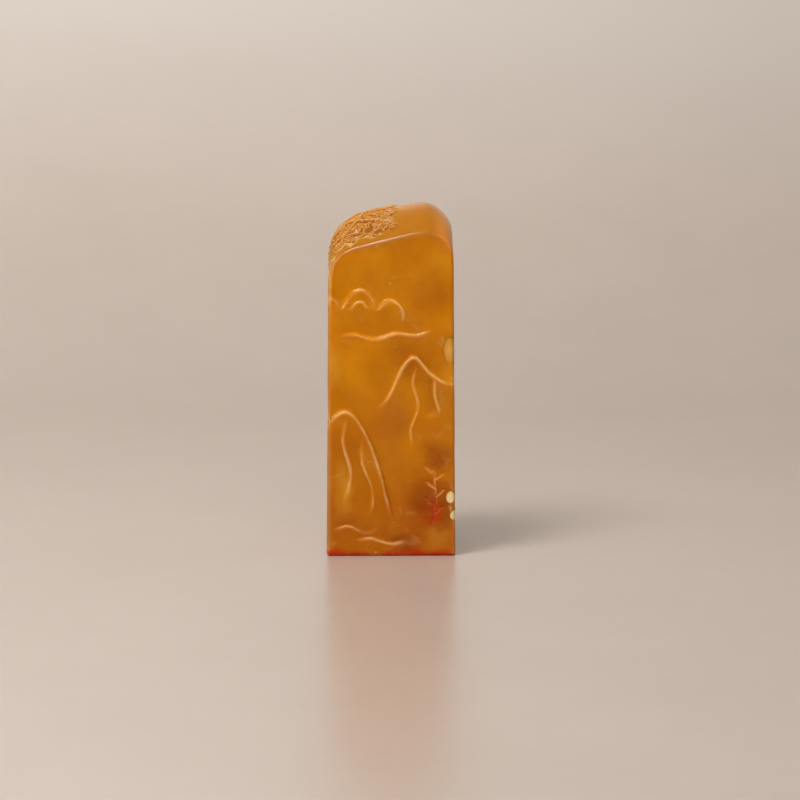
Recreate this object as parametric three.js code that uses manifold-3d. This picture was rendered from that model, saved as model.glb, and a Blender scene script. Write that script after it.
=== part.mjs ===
// A square seal stamp carved from one block of translucent honey-coloured stone.
// Millimetres, +Z up. The origin is the centre of the printing face, on which the seal stands,
// and the front face looks towards -Y. The separate bodies are the stone, the seal paste dried on
// its printing face, the paste left in an incised sprig, and the pale nodules grown in the stone.
import * as THREE from "three";
import { mergeVertices } from "three/addons/utils/BufferGeometryUtils.js";
import Module from "manifold-3d";

const wasm = await Module();
wasm.setup();

// The block
const FACE_WIDTH = 22; // printing face, left to right
const FACE_DEPTH = 22; // printing face, front to back
const HEIGHT = 59.5; // printing face to the highest point of the crown
const NARROWING = 0.95; // how much narrower the block is at its top than at its base
const EDGE_RADIUS = 0.7; // upright edges
const RIDGE_RADIUS = 0.4; // where the top meets the front and back faces
const BASE_BEVEL = 0.4; // worn edge round the printing face

// The domed top, as two profiles seen from the front: along the middle of the block, and where it
// ends at the front and back faces. Drops are measured down from the highest point. A fullness of
// 0.55 gives an elliptical shoulder, more a squarer one and less a flatter one.
const CREST = {
  crownX: 6,
  crownDrop: 0,
  leftX: -3,
  leftDrop: 1.4,
  leftSlope: 0.2,
  leftSideDrop: 9.5,
  leftFullness: 0.58,
  rightSideDrop: 4.6,
  rightFullness: 0.42,
};
const RIDGE = {
  crownX: 5.8,
  crownDrop: 4.4,
  leftX: -6.8,
  leftDrop: 7.2,
  leftSlope: 0.26,
  leftSideDrop: 14,
  leftFullness: 0.6,
  rightSideDrop: 10,
  rightFullness: 0.7,
};

// Low-relief carving: every line is one slanting knife cut
const CUT_DEPTH = 0.45;
const CUT_WIDTH = 3; // from the steep wall out to where the ground has come back up
const FOLD_CUT_DEPTH = 0.36;
const FOLD_CUT_WIDTH = 2;
const FINE_CUT_DEPTH = 0.3;
const FINE_CUT_WIDTH = 1.3;
const CUT_WALL_LEAN = 0.4; // how far the wall leans back over its height
const CUT_CLEAR = 0.3; // how far a cutting solid stands proud of the skin

// Blossom spray over the left shoulder
const BLOSSOM_RADIUS = 1.1;
const BLOSSOM_RELIEF = 0.36; // height of the petals over the skin
const PETAL_NOTCH = 0.3; // how far the outline comes in between petals, as a share of the radius
const STAMEN_RADIUS = 0.3;
const STAMEN_RELIEF = 0.42;
const LEAF_LENGTH = 2.3;
const LEAF_WIDTH = 0.95;
const LEAF_RELIEF = 0.3;
const TWIG_RADIUS = 0.34;
const BOSS_BODY = 1.6; // half height of a petal, leaf or stamen body, as a share of its relief

// Printing face
const PASTE_THICKNESS = 0.15;
const ENGRAVING_DEPTH = 0.8;
const ENGRAVED_LINE = 0.95;
const SPIRAL_REACH = 4; // longest arm of a spiral, counted in turns of the line
const SPIRAL_MARGIN = 1.8; // raised frame round the four spirals
const SPIRAL_GAP = 1.3; // raised bar between two spirals

// Incised sprig on the front face, low on the right
const SPRIG_INSET = 4; // stem to the block's right side
const SPRIG_FOOT = 5.4; // stem's foot over the printing face
const SPRIG_HEIGHT = 10.2;
const SPRIG_BOW = 0.5;
const SPRIG_DEPTH = 0.3;
const SPRIG_STROKE = 0.36;
const SPRIG_LEAF_LENGTH = 2.5;
const SPRIG_LEAF_WIDTH = 0.72;
const SPRIG_LEAF_SPREAD = 52; // degrees between a leaf and the stem
const SPRIG_LEAF_OVERLAP = 0.35; // a leaf's cut runs this far past the stem's middle
const SPRIG_PASTE_DEPTH = 0.16; // paste left in the bottom of the cuts
const SPRIG_PASTE_TOP = 5.2; // paste reaches this far above the stem's foot

// Pale nodules: centre in from the right side, in from the front face, and up as a share of the
// height, so that they keep their places among the carved lines
const NODULES = [
  { name: "pale_nodule_low", inset: 0.2, back: 0.2, up: 0.118, size: [0.75, 0.9, 0.85] },
  { name: "pale_nodule_middle", inset: 0.85, back: 0.25, up: 0.17, size: [0.75, 0.9, 1.08] },
  { name: "pale_nodule_high", inset: 0.75, back: 0.35, up: 0.593, size: [1.1, 1.2, 2.2] },
];

const HALF_WIDTH = FACE_WIDTH / 2;
const HALF_DEPTH = FACE_DEPTH / 2;
const LEAST_RADIUS = 0.1;
const UP = new THREE.Vector3(0, 0, 1);
const SPARE = 3; // length by which a cutting or trimming solid runs past what it cuts

// A closed geometry as a manifold-3d solid.
function solid(geometry) {
  const bare = geometry.clone();
  bare.deleteAttribute("normal");
  bare.deleteAttribute("uv");
  const merged = mergeVertices(bare, 1e-4);
  return new wasm.Manifold(
    new wasm.Mesh({
      numProp: 3,
      vertProperties: new Float32Array(merged.attributes.position.array),
      triVerts: new Uint32Array(merged.index.array),
    }),
  );
}

function union(solids) {
  return solids.reduce((all, one) => all.add(one));
}

// A body through rings of equally many points, which run anticlockwise seen from the last ring.
function loft(rings) {
  const size = rings[0].length;
  const positions = rings.flat().flatMap((point) => point.toArray());
  const faces = [];
  for (let ring = 0; ring < rings.length - 1; ring++) {
    for (let i = 0; i < size; i++) {
      const a = ring * size + i;
      const b = ring * size + ((i + 1) % size);
      faces.push(a, b, b + size, a, b + size, a + size);
    }
  }
  const last = (rings.length - 1) * size;
  for (let i = 1; i < size - 1; i++) {
    faces.push(0, i + 1, i, last, last + i, last + i + 1);
  }
  const geometry = new THREE.BufferGeometry();
  geometry.setAttribute("position", new THREE.Float32BufferAttribute(positions, 3));
  geometry.setIndex(faces);
  return solid(geometry);
}

// One profile of the top, from the foot of the left side over the crown to the foot of the right.
function profile(p) {
  const leftSide = HEIGHT - p.leftSideDrop;
  const rightSide = HEIGHT - p.rightSideDrop;
  const leftTop = HEIGHT - p.leftDrop;
  const crown = HEIGHT - p.crownDrop;
  const leftReach = (HALF_WIDTH + p.leftX) * p.leftFullness;
  const rightReach = (HALF_WIDTH - p.crownX) * p.rightFullness;
  const path = new THREE.Path();
  path.moveTo(-HALF_WIDTH, -SPARE);
  path.lineTo(-HALF_WIDTH, leftSide);
  path.bezierCurveTo(
    -HALF_WIDTH,
    leftSide + (leftTop - leftSide) * p.leftFullness,
    p.leftX - leftReach,
    leftTop - leftReach * p.leftSlope,
    p.leftX,
    leftTop,
  );
  path.quadraticCurveTo(p.leftX + (crown - leftTop) / p.leftSlope, crown, p.crownX, crown);
  path.bezierCurveTo(
    p.crownX + rightReach,
    crown,
    HALF_WIDTH,
    rightSide + (crown - rightSide) * p.rightFullness,
    HALF_WIDTH,
    rightSide,
  );
  path.lineTo(HALF_WIDTH, -SPARE);
  return path;
}

const crest = profile(CREST);
const ridge = profile(RIDGE);

// How far the top has risen from the ridge to the crest, 0 at a face and 1 in the middle.
function rise(y) {
  return 1 - (y / HALF_DEPTH) ** 2;
}

// The profile at one depth, drawn in by inset.
function slice(y, inset) {
  const pointsPerCurve = 8;
  const low = ridge.getPoints(pointsPerCurve);
  const high = crest.getPoints(pointsPerCurve);
  const line = low.map((point, i) => point.clone().lerp(high[i], rise(y)));
  return line.map((point, i) => {
    const before = line[Math.max(i - 1, 0)];
    const after = line[Math.min(i + 1, line.length - 1)];
    const along = after.clone().sub(before).normalize();
    return new THREE.Vector3(point.x + along.y * inset, y, point.y - along.x * inset);
  });
}

// The block's outline from above at one height, drawn in by inset.
function outline(inset, z) {
  const radius = Math.max(EDGE_RADIUS - inset, LEAST_RADIUS);
  const x = HALF_WIDTH - inset - radius;
  const y = HALF_DEPTH - inset - radius;
  const corners = [
    [x, y],
    [-x, y],
    [-x, -y],
    [x, -y],
  ];
  const turns = [0, 22.5, 45, 67.5, 90];
  return corners.flatMap(([cornerX, cornerY], corner) =>
    turns.map((turn) => {
      const angle = THREE.MathUtils.degToRad(turn + 90 * corner);
      return new THREE.Vector3(
        cornerX + radius * Math.cos(angle),
        cornerY + radius * Math.sin(angle),
        z,
      );
    }),
  );
}

// The plain block, with its domed top, rounded edges and worn base, before any carving.
function plainBlock() {
  const roundSteps = 3;
  const domeSteps = 8;
  const places = [];
  for (let step = 0; step <= roundSteps; step++) {
    const angle = (step / roundSteps) * (Math.PI / 2);
    const y = HALF_DEPTH - RIDGE_RADIUS * (1 - Math.cos(angle));
    places.push({ y, inset: RIDGE_RADIUS * (1 - Math.sin(angle)) });
  }
  const flat = HALF_DEPTH - RIDGE_RADIUS;
  const front = places.map(({ y, inset }) => slice(-y, inset));
  const back = places.map(({ y, inset }) => slice(y, inset)).reverse();
  const dome = [];
  for (let step = 1; step < domeSteps; step++) {
    dome.push(slice(flat * ((2 * step) / domeSteps - 1), 0));
  }
  const worn = [0, 45, 90].map((degrees) => {
    const angle = THREE.MathUtils.degToRad(degrees);
    const inset = BASE_BEVEL * (1 - Math.sin(angle));
    return outline(inset, PASTE_THICKNESS + BASE_BEVEL * (1 - Math.cos(angle)));
  });
  worn.push(outline(0, HEIGHT + SPARE));
  return loft([...front, ...dome, ...back]).intersect(loft(worn));
}

// A place on the upright sides. turn counts faces anticlockwise seen from above: 0 is the middle
// of the front face, 1 of the right, 2 of the back and 3 or -1 of the left.
function sideSkin(turn, z) {
  const face = Math.round(turn);
  const across = (turn - face) * 2;
  const sideways = face % 2 !== 0;
  const half = sideways ? HALF_DEPTH : HALF_WIDTH;
  const reach = sideways ? HALF_WIDTH : HALF_DEPTH;
  const past = Math.max(Math.abs(across) * half - (half - EDGE_RADIUS), 0);
  const angle = ((past / EDGE_RADIUS) * Math.PI) / 4;
  const x = Math.abs(across) * half - past + EDGE_RADIUS * Math.sin(angle);
  const out = reach - EDGE_RADIUS * (1 - Math.cos(angle));
  const side = Math.sign(across);
  const quarter = (face * Math.PI) / 2;
  return {
    point: new THREE.Vector3(side * x, -out, z).applyAxisAngle(UP, quarter),
    normal: new THREE.Vector3(side * Math.sin(angle), -Math.cos(angle), 0).applyAxisAngle(
      UP,
      quarter,
    ),
  };
}

// A place on the top. over runs from 0 at the foot of the left shoulder to 1 at the crown's left
// end, 2 at the highest point and 3 at the foot of the right shoulder; y is the depth.
function topSkin(over, y) {
  const at = (o, depth) => {
    const part = Math.min(Math.floor(o), 2);
    const low = ridge.curves[part + 1].getPoint(o - part);
    const high = crest.curves[part + 1].getPoint(o - part);
    const point = low.lerp(high, rise(depth));
    return new THREE.Vector3(point.x, depth, point.y);
  };
  const small = 0.01;
  const point = at(over, y);
  const along = at(over + small, y).sub(point);
  const back = at(over, y + small).sub(point);
  return { point, normal: along.clone().cross(back).normalize(), along: along.normalize() };
}

// One slanting cut. line holds [turn, share of the height]; the ground is cut away to the left of
// the line as it runs, seen from outside, and the wall stands on its right.
function slantingCut({ line, depth = CUT_DEPTH, width = CUT_WIDTH }) {
  const knots = line.map(([turn, share]) => new THREE.Vector3(turn * FACE_WIDTH, share * HEIGHT));
  const steps = 2 * line.length;
  const spots = new THREE.CatmullRomCurve3(knots, false, "centripetal")
    .getSpacedPoints(steps)
    .map((spot) => sideSkin(spot.x / FACE_WIDTH, spot.y));
  const rings = spots.map(({ point, normal }, i) => {
    const before = spots[Math.max(i - 1, 0)].point;
    const after = spots[Math.min(i + 1, steps)].point;
    const along = after.clone().sub(before).normalize();
    const ground = normal.clone().cross(along);
    const fade = Math.sin((i / steps) * Math.PI) ** 0.5;
    const bite = depth * (1.1 * fade - 0.1);
    const place = (side, out) =>
      point.clone().addScaledVector(ground, side).addScaledVector(normal, out);
    return [place(-CUT_WALL_LEAN, CUT_CLEAR), place(0, -bite), place(width, CUT_CLEAR)];
  });
  return loft(rings);
}

// Hills, clouds and water round all four faces.
const FOLD = { depth: FOLD_CUT_DEPTH, width: FOLD_CUT_WIDTH };
const FINE = { depth: FINE_CUT_DEPTH, width: FINE_CUT_WIDTH };
const CARVED_LINES = [
  // front: a bank of cloud high on the left, curled at its end, and a layer of mist under it
  { line: [[-0.6, 0.695], [-0.53, 0.735], [-0.44, 0.742], [-0.38, 0.71]] },
  { line: [[-0.41, 0.695], [-0.35, 0.745], [-0.24, 0.768], [-0.14, 0.745], [-0.1, 0.7]] },
  {
    line: [
      [-0.13, 0.695], [-0.06, 0.732], [0.03, 0.735],
      [0.1, 0.708], [0.11, 0.676], [0.05, 0.662],
    ],
  },
  { line: [[-0.34, 0.7], [-0.29, 0.727], [-0.22, 0.732], [-0.17, 0.705]], ...FINE },
  {
    line: [
      [-0.44, 0.63], [-0.3, 0.642], [-0.13, 0.628],
      [0.04, 0.644], [0.2, 0.638], [0.37, 0.655],
    ],
  },
  // front: a far peak on the right and a near hill on the left, with their folds
  {
    line: [
      [-0.14, 0.4], [-0.01, 0.475], [0.1, 0.555], [0.2, 0.575],
      [0.32, 0.53], [0.46, 0.5], [0.6, 0.505],
    ],
  },
  { line: [[0.17, 0.3], [0.14, 0.36], [0.2, 0.43], [0.16, 0.5], [0.2, 0.565]], ...FOLD },
  { line: [[0.38, 0.4], [0.33, 0.46], [0.33, 0.52]], ...FOLD },
  {
    line: [
      [-0.64, 0.33], [-0.48, 0.395], [-0.35, 0.42], [-0.22, 0.375],
      [-0.1, 0.275], [-0.02, 0.165], [0.04, 0.08],
    ],
  },
  { line: [[-0.37, 0.15], [-0.33, 0.24], [-0.39, 0.33], [-0.35, 0.41]], ...FOLD },
  { line: [[-0.17, 0.11], [-0.16, 0.19], [-0.24, 0.27], [-0.23, 0.35]], ...FOLD },
  // front: ripples at the foot
  { line: [[-0.46, 0.075], [-0.33, 0.09], [-0.2, 0.07], [-0.07, 0.085]], ...FINE },
  { line: [[-0.3, 0.045], [-0.16, 0.055], [0, 0.04], [0.14, 0.052]], ...FINE },
  // right: the peak's far slope, a tall hill behind, and cloud
  {
    line: [
      [0.66, 0.34], [0.8, 0.43], [0.92, 0.54], [1.04, 0.585],
      [1.16, 0.53], [1.3, 0.47], [1.44, 0.48],
    ],
  },
  { line: [[1.02, 0.57], [0.98, 0.49], [1.03, 0.4], [0.97, 0.31]], ...FOLD },
  { line: [[0.86, 0.48], [0.84, 0.4], [0.88, 0.32]], ...FOLD },
  { line: [[1.18, 0.5], [1.2, 0.42], [1.15, 0.34]], ...FOLD },
  { line: [[0.58, 0.23], [0.74, 0.275], [0.9, 0.235], [1.06, 0.16], [1.18, 0.09]] },
  { line: [[0.72, 0.26], [0.7, 0.19], [0.75, 0.11]], ...FOLD },
  { line: [[0.84, 0.675], [0.91, 0.715], [1.01, 0.722], [1.08, 0.69]] },
  { line: [[1.05, 0.68], [1.12, 0.728], [1.23, 0.745], [1.34, 0.722], [1.39, 0.675]] },
  { line: [[1.44, 0.63], [1.26, 0.618], [1.08, 0.63], [0.9, 0.618], [0.74, 0.63]] },
  // back: hills on both sides of a plain sheet of water, and a small cloud
  { line: [[1.56, 0.42], [1.7, 0.5], [1.83, 0.53], [1.94, 0.46], [2.02, 0.36], [2.06, 0.26]] },
  { line: [[1.82, 0.52], [1.79, 0.43], [1.84, 0.34], [1.8, 0.26]], ...FOLD },
  { line: [[1.68, 0.48], [1.66, 0.39], [1.7, 0.3]], ...FOLD },
  { line: [[2.06, 0.19], [2.18, 0.29], [2.3, 0.36], [2.42, 0.35], [2.56, 0.3]] },
  { line: [[2.3, 0.35], [2.28, 0.27], [2.33, 0.18], [2.3, 0.1]], ...FOLD },
  { line: [[1.58, 0.13], [1.74, 0.15], [1.9, 0.125], [2.06, 0.14]], ...FINE },
  { line: [[1.7, 0.085], [1.88, 0.095], [2.04, 0.075], [2.2, 0.088]], ...FINE },
  { line: [[2, 0.66], [2.07, 0.7], [2.17, 0.708], [2.24, 0.675]] },
  { line: [[2.21, 0.665], [2.28, 0.705], [2.38, 0.71], [2.44, 0.675]] },
  { line: [[2.48, 0.625], [2.3, 0.612], [2.12, 0.625], [1.94, 0.612]] },
  // left: a hill that runs on to the near one in front, cloud over it
  {
    line: [
      [-1.44, 0.22], [-1.3, 0.31], [-1.17, 0.395], [-1.04, 0.42],
      [-0.92, 0.37], [-0.8, 0.29], [-0.74, 0.2],
    ],
  },
  { line: [[-1.04, 0.41], [-1.08, 0.33], [-1.02, 0.24], [-1.06, 0.15]], ...FOLD },
  { line: [[-1.2, 0.36], [-1.23, 0.27], [-1.18, 0.18]], ...FOLD },
  { line: [[-1.32, 0.61], [-1.25, 0.65], [-1.15, 0.657], [-1.08, 0.625]] },
  { line: [[-1.11, 0.615], [-1.04, 0.66], [-0.93, 0.675], [-0.83, 0.652], [-0.78, 0.61]] },
  { line: [[-0.7, 0.568], [-0.88, 0.556], [-1.06, 0.57], [-1.24, 0.556]] },
];

// The block with its relief. A chip left free between two cuts falls away.
function carve(block) {
  const bodies = block.subtract(union(CARVED_LINES.map(slantingCut))).decompose();
  return bodies.reduce((largest, one) => (one.volume() > largest.volume() ? one : largest));
}

// A ball squeezed to size, with its third axis along the skin's normal and its first turned by
// angle from the skin's run. Its top stands at relief over the skin, and edge gives the share of the
// radius at each angle round it.
function boss({ skin, size, relief, angle = 0, segments = 6, edge = () => 1 }) {
  const ball = new THREE.SphereGeometry(1, segments, 4).rotateX(Math.PI / 2);
  const position = ball.getAttribute("position");
  for (let i = 0; i < position.count; i++) {
    const share = edge(Math.atan2(position.getY(i), position.getX(i)));
    position.setXY(i, position.getX(i) * share, position.getY(i) * share);
  }
  const side = skin.normal.clone().cross(skin.along).normalize();
  const along = side.clone().cross(skin.normal);
  const place = new THREE.Matrix4().makeBasis(along, side, skin.normal);
  place.setPosition(skin.point.clone().addScaledVector(skin.normal, relief - size[2]));
  ball.scale(...size).rotateZ(angle).applyMatrix4(place);
  return solid(ball);
}

// Edge of a pointed leaf, and of five petals.
function leafEdge(angle) {
  return 1 - 0.25 * Math.sin(angle) ** 2;
}

function petalEdge(angle) {
  return 1 - (PETAL_NOTCH / 2) * (1 - Math.cos(5 * angle));
}

// A round bar half sunk in the top, through places given as [over, share of the half depth].
function twig(places) {
  const knots = places.map(([over, share]) => new THREE.Vector3(over, share * HALF_DEPTH, 0));
  const steps = 5 * (places.length - 1);
  const spots = new THREE.CatmullRomCurve3(knots).getPoints(steps).map((s) => topSkin(s.x, s.y));
  const rings = spots.map(({ point, normal }, i) => {
    const before = spots[Math.max(i - 1, 0)].point;
    const after = spots[Math.min(i + 1, steps)].point;
    const side = normal.clone().cross(after.clone().sub(before)).normalize();
    const radius = TWIG_RADIUS * (1 - (0.45 * i) / steps);
    return [0, 60, 120, 180, 240, 300].map((degrees) => {
      const angle = THREE.MathUtils.degToRad(degrees);
      return point
        .clone()
        .addScaledVector(side, radius * Math.cos(angle))
        .addScaledVector(normal, radius * Math.sin(angle));
    });
  });
  return loft(rings);
}

// Places on the top as [over, share of the half depth, angle in degrees].
const BLOSSOMS = [
  [0.34, -0.65, 10],
  [0.62, -0.75, 40],
  [0.5, -0.42, 65],
  [0.84, -0.51, 20],
  [0.72, -0.18, 50],
  [1.02, -0.24, 0],
  [1.2, -0.45, 30],
  [1.3, -0.08, 55],
  [0.42, -0.05, 15],
  [0.86, 0.15, 35],
  [0.55, 0.29, 60],
  [1.12, 0.25, 25],
];
const LEAVES = [
  [0.46, -0.82, 150],
  [0.2, -0.49, 80],
  [0.68, -0.56, 120],
  [1, -0.69, 20],
  [1.04, -0.43, 160],
  [0.7, -0.35, 60],
  [0.3, -0.25, 100],
  [1.38, -0.29, 40],
  [1.5, -0.15, 150],
  [0.92, -0.05, 110],
  [0.64, 0.05, 70],
  [0.3, 0.13, 130],
  [1.16, 0.08, 20],
  [1.36, 0.15, 60],
  [0.74, 0.45, 100],
  [0.98, 0.4, 30],
];

function spray() {
  const parts = [
    twig([[0.5, 0.53], [0.6, 0.16], [0.86, -0.09], [0.8, -0.38], [0.62, -0.6], [0.5, -0.87]]),
    twig([[0.86, -0.09], [1.12, -0.17], [1.42, -0.13]]),
    twig([[0.8, -0.38], [1.06, -0.51], [1.22, -0.6]]),
  ];
  for (const [over, share, degrees] of BLOSSOMS) {
    const skin = topSkin(over, share * HALF_DEPTH);
    const petals = [BLOSSOM_RADIUS, BLOSSOM_RADIUS, BOSS_BODY * BLOSSOM_RELIEF];
    parts.push(
      boss({
        skin,
        size: petals,
        relief: BLOSSOM_RELIEF,
        angle: THREE.MathUtils.degToRad(degrees),
        segments: 20,
        edge: petalEdge,
      }),
    );
    const stamens = [STAMEN_RADIUS, STAMEN_RADIUS, STAMEN_RADIUS];
    parts.push(boss({ skin, size: stamens, relief: STAMEN_RELIEF }));
  }
  for (const [over, share, degrees] of LEAVES) {
    const skin = topSkin(over, share * HALF_DEPTH);
    const size = [LEAF_LENGTH / 2, LEAF_WIDTH / 2, BOSS_BODY * LEAF_RELIEF];
    const angle = THREE.MathUtils.degToRad(degrees);
    parts.push(boss({ skin, size, relief: LEAF_RELIEF, angle, edge: leafEdge }));
  }
  return union(parts);
}

// A square spiral of engraved line, running in from its far corner. flip mirrors it.
function spiral(flipX, flipY) {
  const farX = HALF_WIDTH - SPIRAL_MARGIN - ENGRAVED_LINE / 2;
  const farY = HALF_DEPTH - SPIRAL_MARGIN - ENGRAVED_LINE / 2;
  const nearest = (SPIRAL_GAP + ENGRAVED_LINE) / 2;
  const pitchX = (farX - nearest) / SPIRAL_REACH;
  const pitchY = (farY - nearest) / SPIRAL_REACH;
  const arms = [SPIRAL_REACH];
  for (let length = SPIRAL_REACH; length > 0; length--) {
    arms.push(length, length);
  }
  const at = new THREE.Vector2(0, 0);
  const heading = new THREE.Vector2(1, 0);
  const bars = arms.map((length) => {
    const end = at.clone().addScaledVector(heading, length);
    const middle = at.clone().add(end).multiplyScalar(0.5);
    const bar = new THREE.BoxGeometry(
      Math.abs(end.x - at.x) * pitchX + ENGRAVED_LINE,
      Math.abs(end.y - at.y) * pitchY + ENGRAVED_LINE,
      2 * ENGRAVING_DEPTH,
    );
    bar.translate(flipX * (middle.x * pitchX - farX), flipY * (middle.y * pitchY - farY), 0);
    at.copy(end);
    heading.set(-heading.y, heading.x);
    return solid(bar);
  });
  return union(bars);
}

// Four spirals, each the mirror image of its neighbours.
function engraving() {
  return union([spiral(1, 1), spiral(-1, 1), spiral(-1, -1), spiral(1, -1)]);
}

function pasteFilm() {
  const film = loft([outline(BASE_BEVEL, 0), outline(BASE_BEVEL, PASTE_THICKNESS)]);
  return film.subtract(engraving());
}

// A knife-cut stroke on the front face through [x, z] places, V-shaped in section.
function stroke(places) {
  const knots = places.map(([x, z]) => new THREE.Vector3(x, -HALF_DEPTH, z));
  const steps = 6 * (places.length - 1);
  const spots = new THREE.CatmullRomCurve3(knots).getPoints(steps);
  const normal = new THREE.Vector3(0, -1, 0);
  const rings = spots.map((point, i) => {
    const before = spots[Math.max(i - 1, 0)];
    const after = spots[Math.min(i + 1, steps)];
    const side = normal.clone().cross(after.clone().sub(before)).normalize();
    const place = (across, out) =>
      point.clone().addScaledVector(side, across).addScaledVector(normal, out);
    return [
      place(-SPRIG_STROKE, SPRIG_DEPTH),
      place(0, -SPRIG_DEPTH),
      place(SPRIG_STROKE, SPRIG_DEPTH),
    ];
  });
  return loft(rings);
}

// Leaves of the sprig as [share of the stem's height, 1 for the right side and -1 for the left].
const SPRIG_LEAVES = [
  [0.2, 1],
  [0.33, -1],
  [0.48, 1],
  [0.61, -1],
  [0.76, 1],
  [0.87, -1],
];

// The cuts of the sprig: a stem with its leaves.
function sprig() {
  const stemX = HALF_WIDTH - SPRIG_INSET;
  const at = (share) => [
    stemX + SPRIG_BOW * Math.sin(share * Math.PI),
    SPRIG_FOOT + SPRIG_HEIGHT * share,
  ];
  const parts = [stroke([0, 0.2, 0.4, 0.6, 0.8, 1].map(at))];
  const body = 2 * SPRIG_DEPTH;
  const size = [SPRIG_LEAF_LENGTH / 2, SPRIG_LEAF_WIDTH / 2, body];
  const reach = SPRIG_LEAF_LENGTH / 2 - SPRIG_LEAF_OVERLAP;
  for (const [share, hand] of SPRIG_LEAVES) {
    const [x, z] = at(share);
    const angle = THREE.MathUtils.degToRad(90 - hand * SPRIG_LEAF_SPREAD);
    const spot = [x + reach * Math.cos(angle), -HALF_DEPTH, z + reach * Math.sin(angle)];
    const skin = {
      point: new THREE.Vector3(...spot),
      normal: new THREE.Vector3(0, -1, 0),
      along: new THREE.Vector3(1, 0, 0),
    };
    const relief = 2 * body - SPRIG_DEPTH;
    parts.push(boss({ skin, size, relief, angle, segments: 8, edge: leafEdge }));
  }
  return union(parts);
}

// What lies deeper than depth under the front face and lower than top.
function underFront(depth, top) {
  const box = new THREE.BoxGeometry(FACE_WIDTH, HALF_DEPTH, top);
  box.translate(0, -HALF_DEPTH + depth + HALF_DEPTH / 2, top / 2);
  return solid(box);
}

function nodule({ inset, back, up, size }) {
  const ball = new THREE.SphereGeometry(1, 14, 10).scale(...size);
  ball.translate(HALF_WIDTH - inset, -HALF_DEPTH + back, up * HEIGHT);
  return solid(ball);
}

// The block narrows evenly towards its top.
function narrowed(geometry) {
  const position = geometry.getAttribute("position");
  for (let i = 0; i < position.count; i++) {
    const share = 1 - (NARROWING / FACE_WIDTH) * (position.getZ(i) / HEIGHT);
    position.setXY(i, position.getX(i) * share, position.getY(i) * share);
  }
  geometry.computeVertexNormals();
  return geometry;
}

function mesh(name, made, material) {
  const { numProp, vertProperties, triVerts } = made.getMesh();
  const geometry = new THREE.BufferGeometry();
  geometry.setAttribute("position", new THREE.BufferAttribute(vertProperties, numProp));
  geometry.setIndex(new THREE.BufferAttribute(triVerts, 1));
  const piece = new THREE.Mesh(narrowed(geometry), material);
  piece.name = name;
  return piece;
}

const honeyStone = new THREE.MeshStandardMaterial({ color: 0xb96a12, roughness: 0.25 });
const paleStone = new THREE.MeshStandardMaterial({ color: 0xe8cf9a, roughness: 0.35 });
const sealPaste = new THREE.MeshStandardMaterial({ color: 0xa82412, roughness: 0.8 });

const carved = carve(plainBlock());
const sprigCuts = sprig();
const nodules = NODULES.map(nodule);
const stone = carved.add(spray()).subtract(sprigCuts).subtract(engraving());
const pasteInSprig = sprigCuts.intersect(
  underFront(SPRIG_DEPTH - SPRIG_PASTE_DEPTH, SPRIG_FOOT + SPRIG_PASTE_TOP),
);

const seal = new THREE.Group();
seal.add(mesh("seal_stone", stone.subtract(union(nodules)), honeyStone));
seal.add(mesh("face_paste", pasteFilm(), sealPaste));
seal.add(mesh("sprig_paste", pasteInSprig, sealPaste));
NODULES.forEach(({ name }, i) => seal.add(mesh(name, nodules[i].intersect(stone), paleStone)));
export default seal;
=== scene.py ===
# %% [markdown]
# # A seal stamp carved from honey-coloured stone
#
# The seal is one square block of soft, waxy, translucent stone. It stands on its printing face,
# its top is rounded and slants down to the left, and shallow knife-cut relief runs round its
# sides. This file dresses the plain solids of that seal, so that it looks like a photograph
# taken in soft studio light.

import math

import bpy
import numpy as np
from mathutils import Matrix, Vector


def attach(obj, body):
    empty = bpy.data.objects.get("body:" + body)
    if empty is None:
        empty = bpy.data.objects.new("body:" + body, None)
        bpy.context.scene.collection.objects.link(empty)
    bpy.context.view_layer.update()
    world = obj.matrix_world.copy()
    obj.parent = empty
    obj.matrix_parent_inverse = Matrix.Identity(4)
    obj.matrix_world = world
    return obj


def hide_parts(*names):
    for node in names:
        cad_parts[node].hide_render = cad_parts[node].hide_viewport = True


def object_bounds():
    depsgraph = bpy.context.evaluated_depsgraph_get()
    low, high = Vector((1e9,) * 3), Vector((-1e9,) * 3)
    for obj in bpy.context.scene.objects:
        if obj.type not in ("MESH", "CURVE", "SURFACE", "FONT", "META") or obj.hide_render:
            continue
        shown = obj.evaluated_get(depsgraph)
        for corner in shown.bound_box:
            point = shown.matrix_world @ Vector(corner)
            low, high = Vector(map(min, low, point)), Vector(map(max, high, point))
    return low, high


MM = 0.001

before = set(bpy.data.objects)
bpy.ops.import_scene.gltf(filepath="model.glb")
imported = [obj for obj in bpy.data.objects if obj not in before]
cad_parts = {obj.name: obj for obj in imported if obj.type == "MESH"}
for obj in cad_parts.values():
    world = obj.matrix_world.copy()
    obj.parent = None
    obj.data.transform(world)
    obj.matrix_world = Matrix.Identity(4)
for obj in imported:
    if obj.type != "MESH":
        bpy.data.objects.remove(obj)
cad_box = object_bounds()
print("solids:", sorted(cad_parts))
print("size in mm:", [round(v / MM, 2) for v in cad_box[1] - cad_box[0]])

# %% [markdown]
# ## The camera
#
# The photograph is taken with a long lens from a little over the table, almost straight at the
# front face. A long lens keeps the upright edges of the block parallel. The camera stands a
# touch to the left, so a thin strip of the left side shows.

# %% Camera
AIM = Vector((1.70, 0, 25.31)) * MM
CAMERA_DISTANCE = 600 * MM
CAMERA_HEIGHT_ANGLE = math.radians(8)
CAMERA_SIDE_ANGLE = math.radians(-1)
LENS = 156.6

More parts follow.
